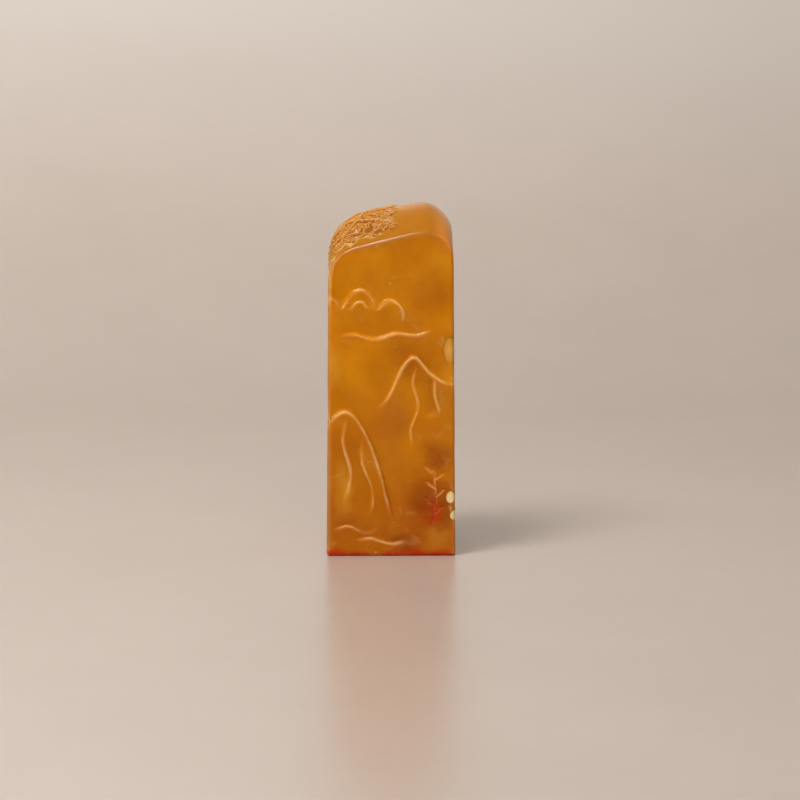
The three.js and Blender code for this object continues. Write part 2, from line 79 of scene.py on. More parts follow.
flat = CAMERA_DISTANCE * math.cos(CAMERA_HEIGHT_ANGLE)
camera_place = AIM + Vector(
    (
        flat * math.sin(CAMERA_SIDE_ANGLE),
        -flat * math.cos(CAMERA_SIDE_ANGLE),
        CAMERA_DISTANCE * math.sin(CAMERA_HEIGHT_ANGLE),
    )
)
look = (AIM - camera_place).to_track_quat("-Z", "Y")
bpy.ops.object.camera_add(location=camera_place, rotation=look.to_euler())
camera = bpy.context.object
camera.name = "camera"
camera.data.lens = LENS
camera.data.sensor_width = 36
bpy.context.scene.camera = camera
print("camera at", [round(v, 3) for v in camera_place])

# %% [markdown]
# ## The table and backdrop
#
# A studio sweep is one sheet that lies flat under the object and curves up behind it, so there
# is no hard line at the back. A plane gives the floor. Its back edge is spun through a quarter
# turn for the curve and then pulled straight up for the wall.


# %% Sweep
def choose(piece):
    """Makes piece the only selected object and the active one."""
    bpy.ops.object.select_all(action="DESELECT")
    piece.select_set(True)
    bpy.context.view_layer.objects.active = piece


def start_editing(piece):
    """Chooses a piece and sees to it that nothing in its mesh is selected."""
    choose(piece)
    bpy.ops.object.mode_set(mode="EDIT")
    bpy.ops.mesh.select_all(action="DESELECT")
    bpy.ops.object.mode_set(mode="OBJECT")


def select_edges(piece, test):
    """Selects the edges of piece whose middle passes the test."""
    start_editing(piece)
    points = piece.data.vertices
    for edge in piece.data.edges:
        a, b = (points[i].co for i in edge.vertices)
        edge.select = test((a + b) / 2)
    bpy.ops.object.mode_set(mode="EDIT")
    bpy.context.tool_settings.mesh_select_mode = (False, True, False)
    bpy.ops.object.mode_set(mode="OBJECT")
    bpy.ops.object.mode_set(mode="EDIT")


SWEEP_WIDTH = 2.4
SWEEP_DEPTH = 1.6
SWEEP_BACK = 0.16  # how far behind the seal the curve starts
SWEEP_RADIUS = 0.3
WALL_HEIGHT = 1.2
bpy.ops.mesh.primitive_plane_add(size=1)
sweep = bpy.context.object
sweep.name = "sweep"
sweep.scale = (SWEEP_WIDTH, SWEEP_DEPTH, 1)
sweep.location = (0, SWEEP_BACK - SWEEP_DEPTH / 2, 0)
bpy.ops.object.transform_apply(location=True, rotation=True, scale=True)
select_edges(sweep, lambda middle: middle.y > SWEEP_BACK - 0.001)
bpy.ops.mesh.spin(
    steps=24,
    angle=math.pi / 2,
    center=(0, SWEEP_BACK, SWEEP_RADIUS),
    axis=(-1, 0, 0),
)
bpy.ops.mesh.extrude_region_move(TRANSFORM_OT_translate={"value": (0, 0, WALL_HEIGHT)})
bpy.ops.mesh.select_all(action="SELECT")
bpy.ops.mesh.remove_doubles(threshold=1e-5)
bpy.ops.mesh.normals_make_consistent(inside=False)
bpy.ops.object.mode_set(mode="OBJECT")
bpy.ops.object.shade_smooth()
print("sweep faces:", len(sweep.data.polygons), "reach:", [round(v, 2) for v in sweep.dimensions])

# %% [markdown]
# ## Materials in nodes
#
# Every material is a Principled BSDF, with nodes for whatever changes over the surface. A small
# helper adds a node, sets its values and joins its inputs, so each material reads as a list. The
# first material is the sweep's: a faintly mottled warm grey board, painted paler where it rises as
# painted light for the brighter light high on the wall.


# %% Node helper
def add_node(tree, kind, inputs=(), **settings):
    """Adds a node to a tree. inputs gives values or other nodes' outputs, by socket name or number."""
    node = tree.nodes.new(kind)
    for name, value in settings.items():
        setattr(node, name, value)
    for socket, value in dict(inputs).items():
        if isinstance(value, bpy.types.NodeSocket):
            tree.links.new(value, node.inputs[socket])
        else:
            node.inputs[socket].default_value = value
    return node


def new_material(name, **values):
    """A material with one Principled BSDF, whose sockets are given by name."""
    material = bpy.data.materials.new(name)
    material.use_nodes = True
    shader = material.node_tree.nodes["Principled BSDF"]
    for socket, value in values.items():
        shader.inputs[socket.replace("_", " ")].default_value = value
    return material, material.node_tree, shader


def colour(red, green, blue):
    """A colour given as it looks on a screen, from 0 to 255, for a socket that wants linear light."""

    def linear(value):
        value /= 255
        return value / 12.92 if value <= 0.04045 else ((value + 0.055) / 1.055) ** 2.4

    return (linear(red), linear(green), linear(blue), 1)


def blend(tree, amount, a, b):
    """The colour a turned into the colour b by an amount from 0 to 1."""
    return add_node(tree, "ShaderNodeMix", {0: amount, 6: a, 7: b}, data_type="RGBA").outputs[2]


def noise_at(tree, place, scale, detail, output="Fac", **settings):
    """Irregular cloudy noise at a place, of about scale spots to the metre."""
    inputs = {"Vector": place, "Scale": scale, "Detail": detail, **settings}
    return add_node(tree, "ShaderNodeTexNoise", inputs).outputs[output]


# %% Sweep material
sweep_material, tree, shader = new_material(
    "warm_grey_board",
    Roughness=0.28,
    Coat_Weight=0.36,
    Coat_Roughness=0.27,
)
place = add_node(tree, "ShaderNodeTexCoord").outputs["Object"]
mottle = noise_at(tree, place, 16, 8, Roughness=0.75)
board = blend(tree, mottle, colour(183, 170, 158), colour(201, 187, 175))
# painted light: the board is painted paler as it rises, for brighter light high on the wall
rise = add_node(tree, "ShaderNodeSeparateXYZ", {0: place}).outputs["Z"]
rise = add_node(tree, "ShaderNodeMapRange", {0: rise, 1: 0.03, 2: 0.09, 3: 0.0, 4: 0.9}).outputs[0]
board = blend(tree, rise, board, colour(202, 193, 184))
tree.links.new(board, shader.inputs["Base Color"])
sweep.data.materials.append(sweep_material)

# %% [markdown]
# ## The light
#
# One soft box hangs over the table, in front of the seal and to its left. Its light falls off
# gently round the edges and throws a short, soft shadow to the right and back. A large weak one
# stands far in front and fills the front face, a small one brightens the backdrop at the upper
# left, and the world gives the warm fill light of a pale room.


# %% Lights
def soft_light(name, place, aim, size, power, spread=180):
    """A rectangular soft box at a place, facing a point, with its light spread over an angle."""
    bpy.ops.object.light_add(type="AREA", location=place)
    light = bpy.context.object
    light.name = name
    light.data.shape = "RECTANGLE"
    light.data.size, light.data.size_y = size
    light.data.energy = power
    light.data.spread = math.radians(spread)
    light.rotation_euler = (Vector(aim) - light.location).to_track_quat("-Z", "Y").to_euler()
    print(name, "at", place, "gives", power, "W")


soft_light("soft_box", (-0.259, -0.263, 0.652), aim=(0, 0, 0.03), size=(0.2, 0.4), power=3.9)
soft_light("front_fill", (-0.1, -1.3, 0.9), aim=(0, 0.3, 0), size=(1.4, 1.4), power=5.35)
soft_light(
    "wall_light", (-0.34, 0.1, 0.64), aim=(-0.1, 0.45, 0.26), size=(0.15, 0.15), power=0.38, spread=60
)

world = bpy.data.worlds.new("studio")
bpy.context.scene.world = world
world.use_nodes = True
background = world.node_tree.nodes["Background"].inputs
background["Color"].default_value = (1, 0.92, 0.86, 1)
background["Strength"].default_value = 0.285

# %% [markdown]
# ## The stone
#
# The plain solid is a block with hard, faceted knife cuts. A real seal is rubbed with ever finer
# paper and wax, so its flats are gently uneven, and every ledge of the relief is round and soft.
# The copy is first remeshed to a fine, even net, which gives enough points to shape.


# %% Stone net
VOXEL = 0.11 * MM
SAME_POINT = 0.001 * MM


def copy_of_nodes(name, node_names):
    """One new piece from copies of CAD nodes, with its loose triangles merged."""
    bpy.ops.object.select_all(action="DESELECT")
    copies = []
    for node_name in node_names:
        copy = bpy.data.objects.new(name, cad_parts[node_name].data.copy())
        bpy.context.scene.collection.objects.link(copy)
        copy.select_set(True)
        copies.append(copy)
    bpy.context.view_layer.objects.active = copies[0]
    if len(copies) > 1:
        bpy.ops.object.join()
    piece = bpy.context.object
    piece.name = name
    piece.data.materials.clear()
    bpy.ops.object.mode_set(mode="EDIT")
    bpy.ops.mesh.select_all(action="SELECT")
    bpy.ops.mesh.remove_doubles(threshold=SAME_POINT)
    bpy.ops.object.mode_set(mode="OBJECT")
    return piece


def apply_modifier(piece, kind, **settings):
    """Adds a modifier, sets it and applies it."""
    choose(piece)
    bpy.ops.object.modifier_add(type=kind)
    modifier = piece.modifiers[-1]
    for name, value in settings.items():
        setattr(modifier, name, value)
    bpy.ops.object.modifier_apply(modifier=modifier.name)


def triangles(piece):
    """How many triangles a piece's faces come to."""
    return sum(len(face.vertices) - 2 for face in piece.data.polygons)


NODULES = [name for name in sorted(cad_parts) if "nodule" in name]
stone = copy_of_nodes("carved_stone", ["seal_stone", *NODULES])
apply_modifier(stone, "REMESH", mode="VOXEL", voxel_size=VOXEL)
print("stone net:", len(stone.data.vertices), "points")

# %% [markdown]
# ## The smooth block
#
# Operators can't draw relief as soft as rubbed stone, so the points of the net are moved in code,
# as a sculpting brush does. The code needs to know where the smooth skin of the uncut block lies.
# The block is square from above, narrows a little towards its top, and its top follows two
# outlines: one along the middle of the block, and a lower one at the front and back faces.

# %% Points of a mesh
FACE_WIDTH = (cad_box[1].x - cad_box[0].x) / MM
HALF_WIDTH = FACE_WIDTH / 2
HEIGHT = 59.5
NARROWING = 0.95  # how much narrower the block is at its top than at its foot


def rows_of(items, name):
    """One value of every point or face of a mesh, as rows of x, y, z."""
    flat = np.empty(3 * len(items))
    items.foreach_get(name, flat)
    return flat.reshape(-1, 3)


def points_of(piece):
    """All points of a mesh as rows of x, y, z in millimetres."""
    return rows_of(piece.data.vertices, "co") / MM


def set_points(piece, points):
    """Moves all points of a mesh to rows of x, y, z in millimetres."""
    piece.data.vertices.foreach_set("co", (points * MM).ravel())
    piece.data.update()


def smooth_step(value):
    """Rises from 0 to 1 as value does, with a soft start and end."""
    value = np.clip(value, 0, 1)
    return value * value * (3 - 2 * value)


# %% Outlines of the top
CREST = {
    "crown_x": 6,
    "crown_drop": 0,
    "left_x": -3,
    "left_drop": 1.4,
    "left_slope": 0.2,
    "left_side_drop": 9.5,
    "left_fullness": 0.58,
    "right_side_drop": 4.6,
    "right_fullness": 0.42,
}
RIDGE = {
    "crown_x": 5.8,
    "crown_drop": 4.4,
    "left_x": -6.8,
    "left_drop": 7.2,
    "left_slope": 0.26,
    "left_side_drop": 14,
    "left_fullness": 0.6,
    "right_side_drop": 10,
    "right_fullness": 0.7,
}
TOP_FROM = 43  # below this height only the sides matter
CLIMB_FROM = 44  # height on the left side from which the climb up the skin is measured


def bezier(*knots):
    """Points on the curve that three or four knots give."""
    share = np.linspace(0, 1, 60)[:, None]
    knots = [np.array(knot, dtype=float) for knot in knots]
    while len(knots) > 1:
        knots = [a + (b - a) * share for a, b in zip(knots, knots[1:])]
    return knots[0]


def top_outline(p):
    """An outline of the top in x and z, from the left side over the crown to the right side."""
    left_side = HEIGHT - p["left_side_drop"]
    right_side = HEIGHT - p["right_side_drop"]
    left_top = HEIGHT - p["left_drop"]
    crown = HEIGHT - p["crown_drop"]
    left_reach = (HALF_WIDTH + p["left_x"]) * p["left_fullness"]
    right_reach = (HALF_WIDTH - p["crown_x"]) * p["right_fullness"]
    left = bezier(
        (-HALF_WIDTH, left_side),
        (-HALF_WIDTH, left_side + (left_top - left_side) * p["left_fullness"]),
        (p["left_x"] - left_reach, left_top - left_reach * p["left_slope"]),
        (p["left_x"], left_top),
    )
    middle = bezier(
        (p["left_x"], left_top),
        (p["left_x"] + (crown - left_top) / p["left_slope"], crown),
        (p["crown_x"], crown),
    )
    right = bezier(
        (p["crown_x"], crown),
        (p["crown_x"] + right_reach, crown),
        (HALF_WIDTH, right_side + (crown - right_side) * p["right_fullness"]),
        (HALF_WIDTH, right_side),
    )
    rising = np.column_stack([np.full(12, -HALF_WIDTH), np.linspace(CLIMB_FROM, left_side, 12)])
    falling = np.column_stack([np.full(12, HALF_WIDTH), np.linspace(right_side, CLIMB_FROM, 12)])
    return np.vstack([rising[:-1], left, middle[1:], right[1:], falling[1:]])


crest_outline = top_outline(CREST)
ridge_outline = top_outline(RIDGE)


def top_places(points):
    """How far each point is outside the top's skin, the way out, and how far up the skin it is."""
    outside = np.empty(len(points))
    out = np.zeros((len(points), 3))
    climb = np.empty(len(points))
    for start in range(0, len(points), 3000):
        part = slice(start, start + 3000)
        rise = (1 - (points[part, 1] / HALF_WIDTH) ** 2)[:, None, None]
        line = ridge_outline + (crest_outline - ridge_outline) * rise
        gap = points[part][:, None, ::2] - line
        nearest = np.clip((gap**2).sum(axis=2).argmin(axis=1), 1, line.shape[1] - 2)
        rows = np.arange(len(nearest))
        ahead = line[rows, nearest + 1] - line[rows, nearest - 1]
        ahead /= np.hypot(*ahead.T)[:, None]
        gap = gap[rows, nearest]
        outside[part] = gap[:, 1] * ahead[:, 0] - gap[:, 0] * ahead[:, 1]
        out[part, 0] = -ahead[:, 1]
        out[part, 2] = ahead[:, 0]
        lengths = np.linalg.norm(np.diff(line, axis=1), axis=2).cumsum(axis=1)
        climb[part] = lengths[rows, nearest - 1] + (gap * ahead).sum(axis=1)
    return outside, out, climb


# %% Skin of the block
EDGE_RADIUS = 0.7  # upright edges
RIDGE_RADIUS = 0.4  # where the top meets the front and back faces


def side_places(points):
    """How far each point is outside the upright sides, the way out, and its run round the sides."""
    beyond = np.abs(points[:, :2]) - (HALF_WIDTH - EDGE_RADIUS)
    corner = np.maximum(beyond, 0)
    length = np.hypot(*corner.T)
    outside = length + np.minimum(beyond.max(axis=1), 0) - EDGE_RADIUS
    out = np.zeros((len(points), 3))
    out[:, :2] = corner / np.maximum(length, 1e-9)[:, None]
    inner = length == 0
    out[inner, beyond[inner].argmax(axis=1)] = 1
    out[:, :2] *= np.sign(points[:, :2])
    x, y = points[:, 0], points[:, 1]
    on_x_side = np.abs(x) > np.abs(y)
    run = np.where(on_x_side, np.where(x > 0, FACE_WIDTH + y, -FACE_WIDTH - y), x)
    run = np.where(~on_x_side & (y > 0), 2 * FACE_WIDTH - x, run)
    return outside, out, run


def block_places(points):
    """Where each point is on the smooth block, as named lists."""
    share = 1 - NARROWING / FACE_WIDTH * points[:, 2] / HEIGHT
    upright = points / np.column_stack([share, share, np.ones(len(points))])
    outside, out, run = side_places(upright)
    top_outside = np.full(len(points), -np.inf)
    climb = np.zeros(len(points))
    high = np.flatnonzero(points[:, 2] > TOP_FROM)
    top_outside[high], top_out, climb[high] = top_places(upright[high])
    over = top_outside[high] + RIDGE_RADIUS
    beyond = np.abs(upright[high, 1]) - (HALF_WIDTH - RIDGE_RADIUS)
    on_ridge = (over > 0) & (beyond > 0)
    length = np.hypot(over, beyond)
    round_out = top_out * over[:, None]
    round_out[:, 1] += beyond * np.sign(upright[high, 1])
    top_out[on_ridge] = round_out[on_ridge] / length[on_ridge, None]
    skin = np.where(on_ridge, length - RIDGE_RADIUS, top_outside[high])
    wins = skin > outside[high] + 1e-6
    outside[high[wins]] = skin[wins]
    out[high[wins]] = top_out[wins]
    on_top = np.zeros(len(points), dtype=bool)
    on_top[high[wins]] = True
    return {
        "outside": outside,
        "out": out,
        "run": run,
        "height": points[:, 2],
        "below_top": -top_outside,
        "climb": climb,
        "depth": upright[:, 1],
        "on_top": on_top,
    }


FOOT_KEPT = 0.45  # below this height in mm the CAD's foot and printing face stay as they are
ENGRAVED = 1.2  # how far the printing face's cuts, which stay as they are too, may reach in


def onto_skin(points, places, relief):
    """The points moved onto the smooth block, and out of it by the relief."""
    engraved = (places["height"] < ENGRAVED) & (places["outside"] < -ENGRAVED)
    weight = smooth_step((places["height"] - FOOT_KEPT) / 0.3)
    weight[engraved] = 0
    return points - places["out"] * ((places["outside"] - relief) * weight)[:, None]


points = points_of(stone)
for _ in range(2):
    places = block_places(points)
    points = onto_skin(points, places, 0)
set_points(stone, points)
print("points on the top:", int(places["on_top"].sum()))

# %% [markdown]
# ## A finer net where the carving is fine
#
# The spray over the left shoulder and the sprig low on the front face have details well under a
# millimetre. Their faces are divided once more, so that the rest of the stone stays light.


# %% Finer net
def refine(piece, chosen):
    """Divides the chosen faces of a piece once."""
    start_editing(piece)
    piece.data.polygons.foreach_set("select", chosen)
    bpy.ops.object.mode_set(mode="EDIT")
    bpy.context.tool_settings.mesh_select_mode = (False, False, True)
    bpy.ops.mesh.subdivide(number_cuts=1)
    bpy.ops.object.mode_set(mode="OBJECT")


x, y, z = rows_of(stone.data.polygons, "center").T / MM
fine_spray = (z > 45) & (x < 3.5) & (np.abs(y) < 9.9)
fine_sprig = (y < -10) & (x > 4.4) & (x < 10) & (z > 4.6) & (z < 16.6)
refine(stone, fine_spray | fine_sprig)
print("finer net:", len(stone.data.vertices), "points")

# %% [markdown]
# ## The relief
#
# The relief is a landscape of hills, cloud and water that runs round the four sides. Each line is
# one slanting cut: a short steep ledge on one side, and on the other the ground, which comes back
# up slowly. Every point of the net sinks by the depth of the deepest cut that reaches it.

# %% Lines of the relief
LEDGE = {"depth": 0.45, "ledge": 0.55, "ground": 6}
FOLD = {"depth": 0.34, "ledge": 0.48, "ground": 4}
FINE = {"depth": 0.24, "ledge": 0.38, "ground": 2.6}

# Each line is a run of places [turn, share of the height]. The front face is turn 0, the right
# side 1, the back 2 and the left side -1. The ground lies to the left of the line as it runs.
CARVED_LINES = [
    # front: a bank of cloud high on the left, curled at its end, and a layer of mist under it
    (LEDGE, [[-0.6, 0.695], [-0.53, 0.735], [-0.44, 0.742], [-0.38, 0.71]]),
    (LEDGE, [[-0.41, 0.695], [-0.35, 0.745], [-0.24, 0.768], [-0.14, 0.745], [-0.1, 0.7]]),
    (LEDGE, [[-0.13, 0.695], [-0.06, 0.732], [0.03, 0.735], [0.1, 0.708], [0.11, 0.676], [0.05, 0.662]]),
    (FINE, [[-0.34, 0.7], [-0.29, 0.727], [-0.22, 0.732], [-0.17, 0.705]]),
    (LEDGE, [[-0.44, 0.63], [-0.3, 0.642], [-0.13, 0.628], [0.04, 0.644], [0.2, 0.638], [0.37, 0.655]]),
    # front: a far peak on the right and a near hill on the left, with their folds
    (
        LEDGE,
        [
            [-0.14, 0.4], [-0.01, 0.475], [0.1, 0.555], [0.2, 0.575],
            [0.32, 0.53], [0.46, 0.5], [0.6, 0.505],
        ],
    ),
    (FOLD, [[0.17, 0.3], [0.14, 0.36], [0.2, 0.43], [0.16, 0.5], [0.2, 0.565]]),
    (FOLD, [[0.38, 0.4], [0.33, 0.46], [0.33, 0.52]]),
    (
        LEDGE,
        [
            [-0.64, 0.33], [-0.48, 0.395], [-0.35, 0.42], [-0.22, 0.375],
            [-0.1, 0.275], [-0.02, 0.165], [0.04, 0.08],
        ],
    ),
    (FOLD, [[-0.37, 0.15], [-0.33, 0.24], [-0.39, 0.33], [-0.35, 0.41]]),
    (FOLD, [[-0.17, 0.11], [-0.16, 0.19], [-0.24, 0.27], [-0.23, 0.35]]),
    # front: ripples at the foot
    (FINE, [[-0.46, 0.075], [-0.33, 0.09], [-0.2, 0.07], [-0.07, 0.085]]),
    (FINE, [[-0.3, 0.045], [-0.16, 0.055], [0, 0.04], [0.14, 0.052]]),
    # right: the peak's far slope, a tall hill behind, and cloud
    (
        LEDGE,
        [
            [0.66, 0.34], [0.8, 0.43], [0.92, 0.54], [1.04, 0.585],
            [1.16, 0.53], [1.3, 0.47], [1.44, 0.48],
        ],
    ),
    (FOLD, [[1.02, 0.57], [0.98, 0.49], [1.03, 0.4], [0.97, 0.31]]),
    (FOLD, [[0.86, 0.48], [0.84, 0.4], [0.88, 0.32]]),
    (FOLD, [[1.18, 0.5], [1.2, 0.42], [1.15, 0.34]]),
    (LEDGE, [[0.58, 0.23], [0.74, 0.275], [0.9, 0.235], [1.06, 0.16], [1.18, 0.09]]),
    (FOLD, [[0.72, 0.26], [0.7, 0.19], [0.75, 0.11]]),
    (LEDGE, [[0.84, 0.675], [0.91, 0.715], [1.01, 0.722], [1.08, 0.69]]),
    (LEDGE, [[1.05, 0.68], [1.12, 0.728], [1.23, 0.745], [1.34, 0.722], [1.39, 0.675]]),
    (LEDGE, [[1.44, 0.63], [1.26, 0.618], [1.08, 0.63], [0.9, 0.618], [0.74, 0.63]]),
    # back: hills on both sides of a plain sheet of water, and a small cloud
    (LEDGE, [[1.56, 0.42], [1.7, 0.5], [1.83, 0.53], [1.94, 0.46], [2.02, 0.36], [2.06, 0.26]]),
    (FOLD, [[1.82, 0.52], [1.79, 0.43], [1.84, 0.34], [1.8, 0.26]]),
    (FOLD, [[1.68, 0.48], [1.66, 0.39], [1.7, 0.3]]),
    (LEDGE, [[2.06, 0.19], [2.18, 0.29], [2.3, 0.36], [2.42, 0.35], [2.56, 0.3]]),
    (FOLD, [[2.3, 0.35], [2.28, 0.27], [2.33, 0.18], [2.3, 0.1]]),
    (FINE, [[1.58, 0.13], [1.74, 0.15], [1.9, 0.125], [2.06, 0.14]]),
    (FINE, [[1.7, 0.085], [1.88, 0.095], [2.04, 0.075], [2.2, 0.088]]),
    (LEDGE, [[2, 0.66], [2.07, 0.7], [2.17, 0.708], [2.24, 0.675]]),
    (LEDGE, [[2.21, 0.665], [2.28, 0.705], [2.38, 0.71], [2.44, 0.675]]),
    (LEDGE, [[2.48, 0.625], [2.3, 0.612], [2.12, 0.625], [1.94, 0.612]]),
    # left: a hill that runs on to the near one in front, cloud over it
    (
        LEDGE,
        [
            [-1.44, 0.22], [-1.3, 0.31], [-1.17, 0.395], [-1.04, 0.42],
            [-0.92, 0.37], [-0.8, 0.29], [-0.74, 0.2],
        ],
    ),
    (FOLD, [[-1.04, 0.41], [-1.08, 0.33], [-1.02, 0.24], [-1.06, 0.15]]),
    (FOLD, [[-1.2, 0.36], [-1.23, 0.27], [-1.18, 0.18]]),
    (LEDGE, [[-1.32, 0.61], [-1.25, 0.65], [-1.15, 0.657], [-1.08, 0.625]]),
    (LEDGE, [[-1.11, 0.615], [-1.04, 0.66], [-0.93, 0.675], [-0.83, 0.652], [-0.78, 0.61]]),
    (LEDGE, [[-0.7, 0.568], [-0.88, 0.556], [-1.06, 0.57], [-1.24, 0.556]]),
]
print("lines of the relief:", len(CARVED_LINES))


# %% One line as a curve
CURVE_STEP = 0.12


def curve_through(knots):
    """Closely spaced points on a smooth curve through knots, its direction and its share of length."""
    knots = np.array(knots, dtype=float)
    ends = np.vstack([2 * knots[0] - knots[1], knots, 2 * knots[-1] - knots[-2]])
    pieces = []
    for a, b, c, d in zip(ends, ends[1:], ends[2:], ends[3:]):
        t = np.linspace(0, 1, int(np.hypot(*(c - b)) / CURVE_STEP) + 2)[:-1, None]
        bend = (2 * a - 5 * b + 4 * c - d) * t**2 + (3 * b - 3 * c + d - a) * t**3
        pieces.append(b + 0.5 * ((c - a) * t + bend))
    curve = np.vstack([*pieces, knots[-1:]])
    direction = np.gradient(curve, axis=0)
    direction /= np.hypot(*direction.T)[:, None]
    steps = np.hypot(*np.diff(curve, axis=0).T)
    return curve, direction, np.concatenate([[0], np.cumsum(steps)]) / steps.sum()


def beside_curve(spots, knots, reach):
    """The spots within reach of a curve, how far to its left they lie, and their share of its length."""
    curve, direction, along = curve_through(knots)
    near = np.all((spots > curve.min(axis=0) - reach) & (spots < curve.max(axis=0) + reach), axis=1)
    chosen = np.flatnonzero(near)
    side = np.empty(len(chosen))
    share = np.empty(len(chosen))
    for start in range(0, len(chosen), 4000):
        part = slice(start, start + 4000)
        gap = spots[chosen[part], None] - curve[None]
        nearest = (gap**2).sum(axis=2).argmin(axis=1)
        gap = gap[np.arange(len(nearest)), nearest]
        ahead = direction[nearest]
        left = ahead[:, 0] * gap[:, 1] - ahead[:, 1] * gap[:, 0]
        side[part] = np.where(left < 0, -1, 1) * np.hypot(*gap.T)
        share[part] = along[nearest]
    return chosen, side, share


# %% Depth of the cuts
END_FADE = 0.22  # share of a line's length over which its cut deepens from each end
LIP = 0.06  # the knife leaves a low roll of stone on the high side of a ledge
LIP_WIDTH = 0.24


def cut_relief(spots):
    """How deep the ground of the relief lies at each spot [run, height], and how high its lips."""
    sunk = np.zeros(len(spots))
    raised = np.zeros(len(spots))
    for kind, places in CARVED_LINES:
        for turns in (-4, 0, 4):
            knots = [((turn + turns) * FACE_WIDTH, share * HEIGHT) for turn, share in places]
            chosen, side, share = beside_curve(spots, knots, kind["ground"] + kind["ledge"])
            full = smooth_step(np.minimum(share, 1 - share) / END_FADE)
            ledge = smooth_step(side / kind["ledge"] + 0.5)
            ground = 1 - smooth_step(side / kind["ground"])
            roll = np.exp(-(((side + 0.75 * kind["ledge"]) / LIP_WIDTH) ** 2))
            sunk[chosen] = np.maximum(sunk[chosen], full * kind["depth"] * ledge * ground)
            raised[chosen] = np.maximum(raised[chosen], full * LIP * roll)
    return sunk, raised


# %% [markdown]
# ## The spray over the left shoulder
#
# The finest carving on the seal is a spray of blossom that lies over the left shoulder and hangs
# down its side. Its place is measured up the skin from the left side and from front to back. A
# twig, a leaf, a bud or a flower is a small height at each such place, and where several overlap
# the highest shows, as with real leaves. Between them the ground is cut in, which leaves dark gaps
# that the material darkens further with painted shade, and the whole spray is cut deeper over the
# shoulder, so that it doesn't stand above the outline.

# %% Places of the spray
TWIGS = [
    [[10.5, 5.8], [13.1, 1.8], [16.5, -1], [14.7, -4.2], [11.3, -6.6], [7.8, -9.2]],
    [[16.5, -1], [19.9, -1.9], [22.6, -1.4]],
    [[14.7, -4.2], [17.3, -5.6], [18.9, -6.8]],
    [[11.3, -6.6], [7.6, -5.6], [4.4, -6.4]],
    [[13.1, 1.8], [9.4, 0.6], [5.2, 1.4]],
    [[11.6, -3.2], [8.6, -2.6], [5, -3]],
]
# flowers as [climb, depth, turn in degrees, radius]
FLOWERS = [
    [8, -7.2, 10, 0.95],
    [10, -8.2, 40, 0.85],
    [11.1, -4.6, 65, 1.05],
    [14.4, -5.6, 20, 1.05],
    [14.5, -2, 50, 1.1],
    [18.3, -2.6, 0, 1.05],
    [19.7, -5, 30, 0.95],
    [21.6, -0.9, 55, 0.95],
    [11.2, -0.6, 15, 1.1],
    [16.4, 1.6, 35, 1.1],
    [12.2, 3.2, 60, 1.05],
    [19.7, 2.8, 25, 1],
    [17, -7.3, 30, 0.85],
    [5.4, -4.6, 15, 0.8],
]
SPRAY_FRONT = -9.3
SPRAY_BACK = 7.2
SPRAY_GROUND = -0.05
# how far the spray is cut in, as [climb, depth of the cut], between which it changes evenly
SETTLED = [[9, -0.38], [12, -0.26], [15, -0.2], [18.5, -0.02]]


def spray_cover(climb, depth):
    """1 inside the spray and 0 outside it, with a short slope between."""
    wave = 0.3 * np.sin(1.5 * climb) + 0.2 * np.sin(3.1 * climb + 1)
    right = 22.6 - 0.04 * depth**2 + 0.5 * np.sin(1.4 * depth)
    left = 3.2 + 0.9 * np.sin(0.9 * depth) + 0.02 * depth**2
    inside = np.minimum(depth - SPRAY_FRONT - wave, SPRAY_BACK + wave - depth)
    inside = np.minimum(inside, np.minimum(right - climb, climb - left))
    return smooth_step(inside / 0.35)


# %% Leaf, flower and bud
def leaf_height(a, b, length, width):
    """A pointed leaf with a sharp middle rib, at places along a and across b."""
    half = width / 2 * np.clip(1 - (2 * a / length) ** 2, 0, 1) ** 0.8
    roof = 1 - np.abs(b) / np.maximum(half, 1e-6)
    return np.where(roof > 0, 0.08 + 0.16 * np.maximum(roof, 0) ** 0.8 + 0.08 * a / length, -1)


def flower_height(a, b, radius):
    """Five domed petals round a knob of stamens."""
    distance = np.hypot(a, b)
    turn = np.arctan2(b, a)
    petal = 0.5 - 0.5 * np.cos(5 * turn)
    edge = radius * (0.62 + 0.38 * petal**0.6)
    dome = np.clip(1 - (distance / edge) ** 3, 0, 1)
    height = 0.1 + 0.22 * dome * (0.45 + 0.55 * petal**0.7)
    height -= 0.16 * np.exp(-((distance / (0.36 * radius)) ** 2))
    height += 0.24 * np.exp(-((distance / (0.2 * radius)) ** 4))
    return np.where(distance < edge, height, -1)


def bud_height(a, b, radius):
    """A round bud."""
    share = np.hypot(a, b) / radius
    return np.where(share < 1, 0.12 + radius * np.sqrt(np.clip(1 - share**2, 0, 1)), -1)


# %% Height of the spray
LEAF_SPACING = 0.95
BUD_SPACING = 2.1
chance = np.random.default_rng(7)


def scattered(spacing):
    """Places [climb, depth] over the spray, about spacing apart."""
    climb, depth = np.meshgrid(np.arange(3, 23, spacing), np.arange(-9.2, 7.2, spacing))
    spots = np.column_stack([climb.ravel(), depth.ravel()])
    spots += chance.uniform(-0.45, 0.45, spots.shape) * spacing
    return spots[spray_cover(*spots.T) > 0.6]


def add_shape(relief, spots, place, turn, reach, shape):
    """Raises the relief to one leaf, flower or bud where that is higher."""
    near = np.flatnonzero(np.abs(spots - place).max(axis=1) < reach)
    across, back = (spots[near] - place).T
    a = across * math.cos(turn) + back * math.sin(turn)
    b = back * math.cos(turn) - across * math.sin(turn)
    relief[near] = np.maximum(relief[near], shape(a, b))


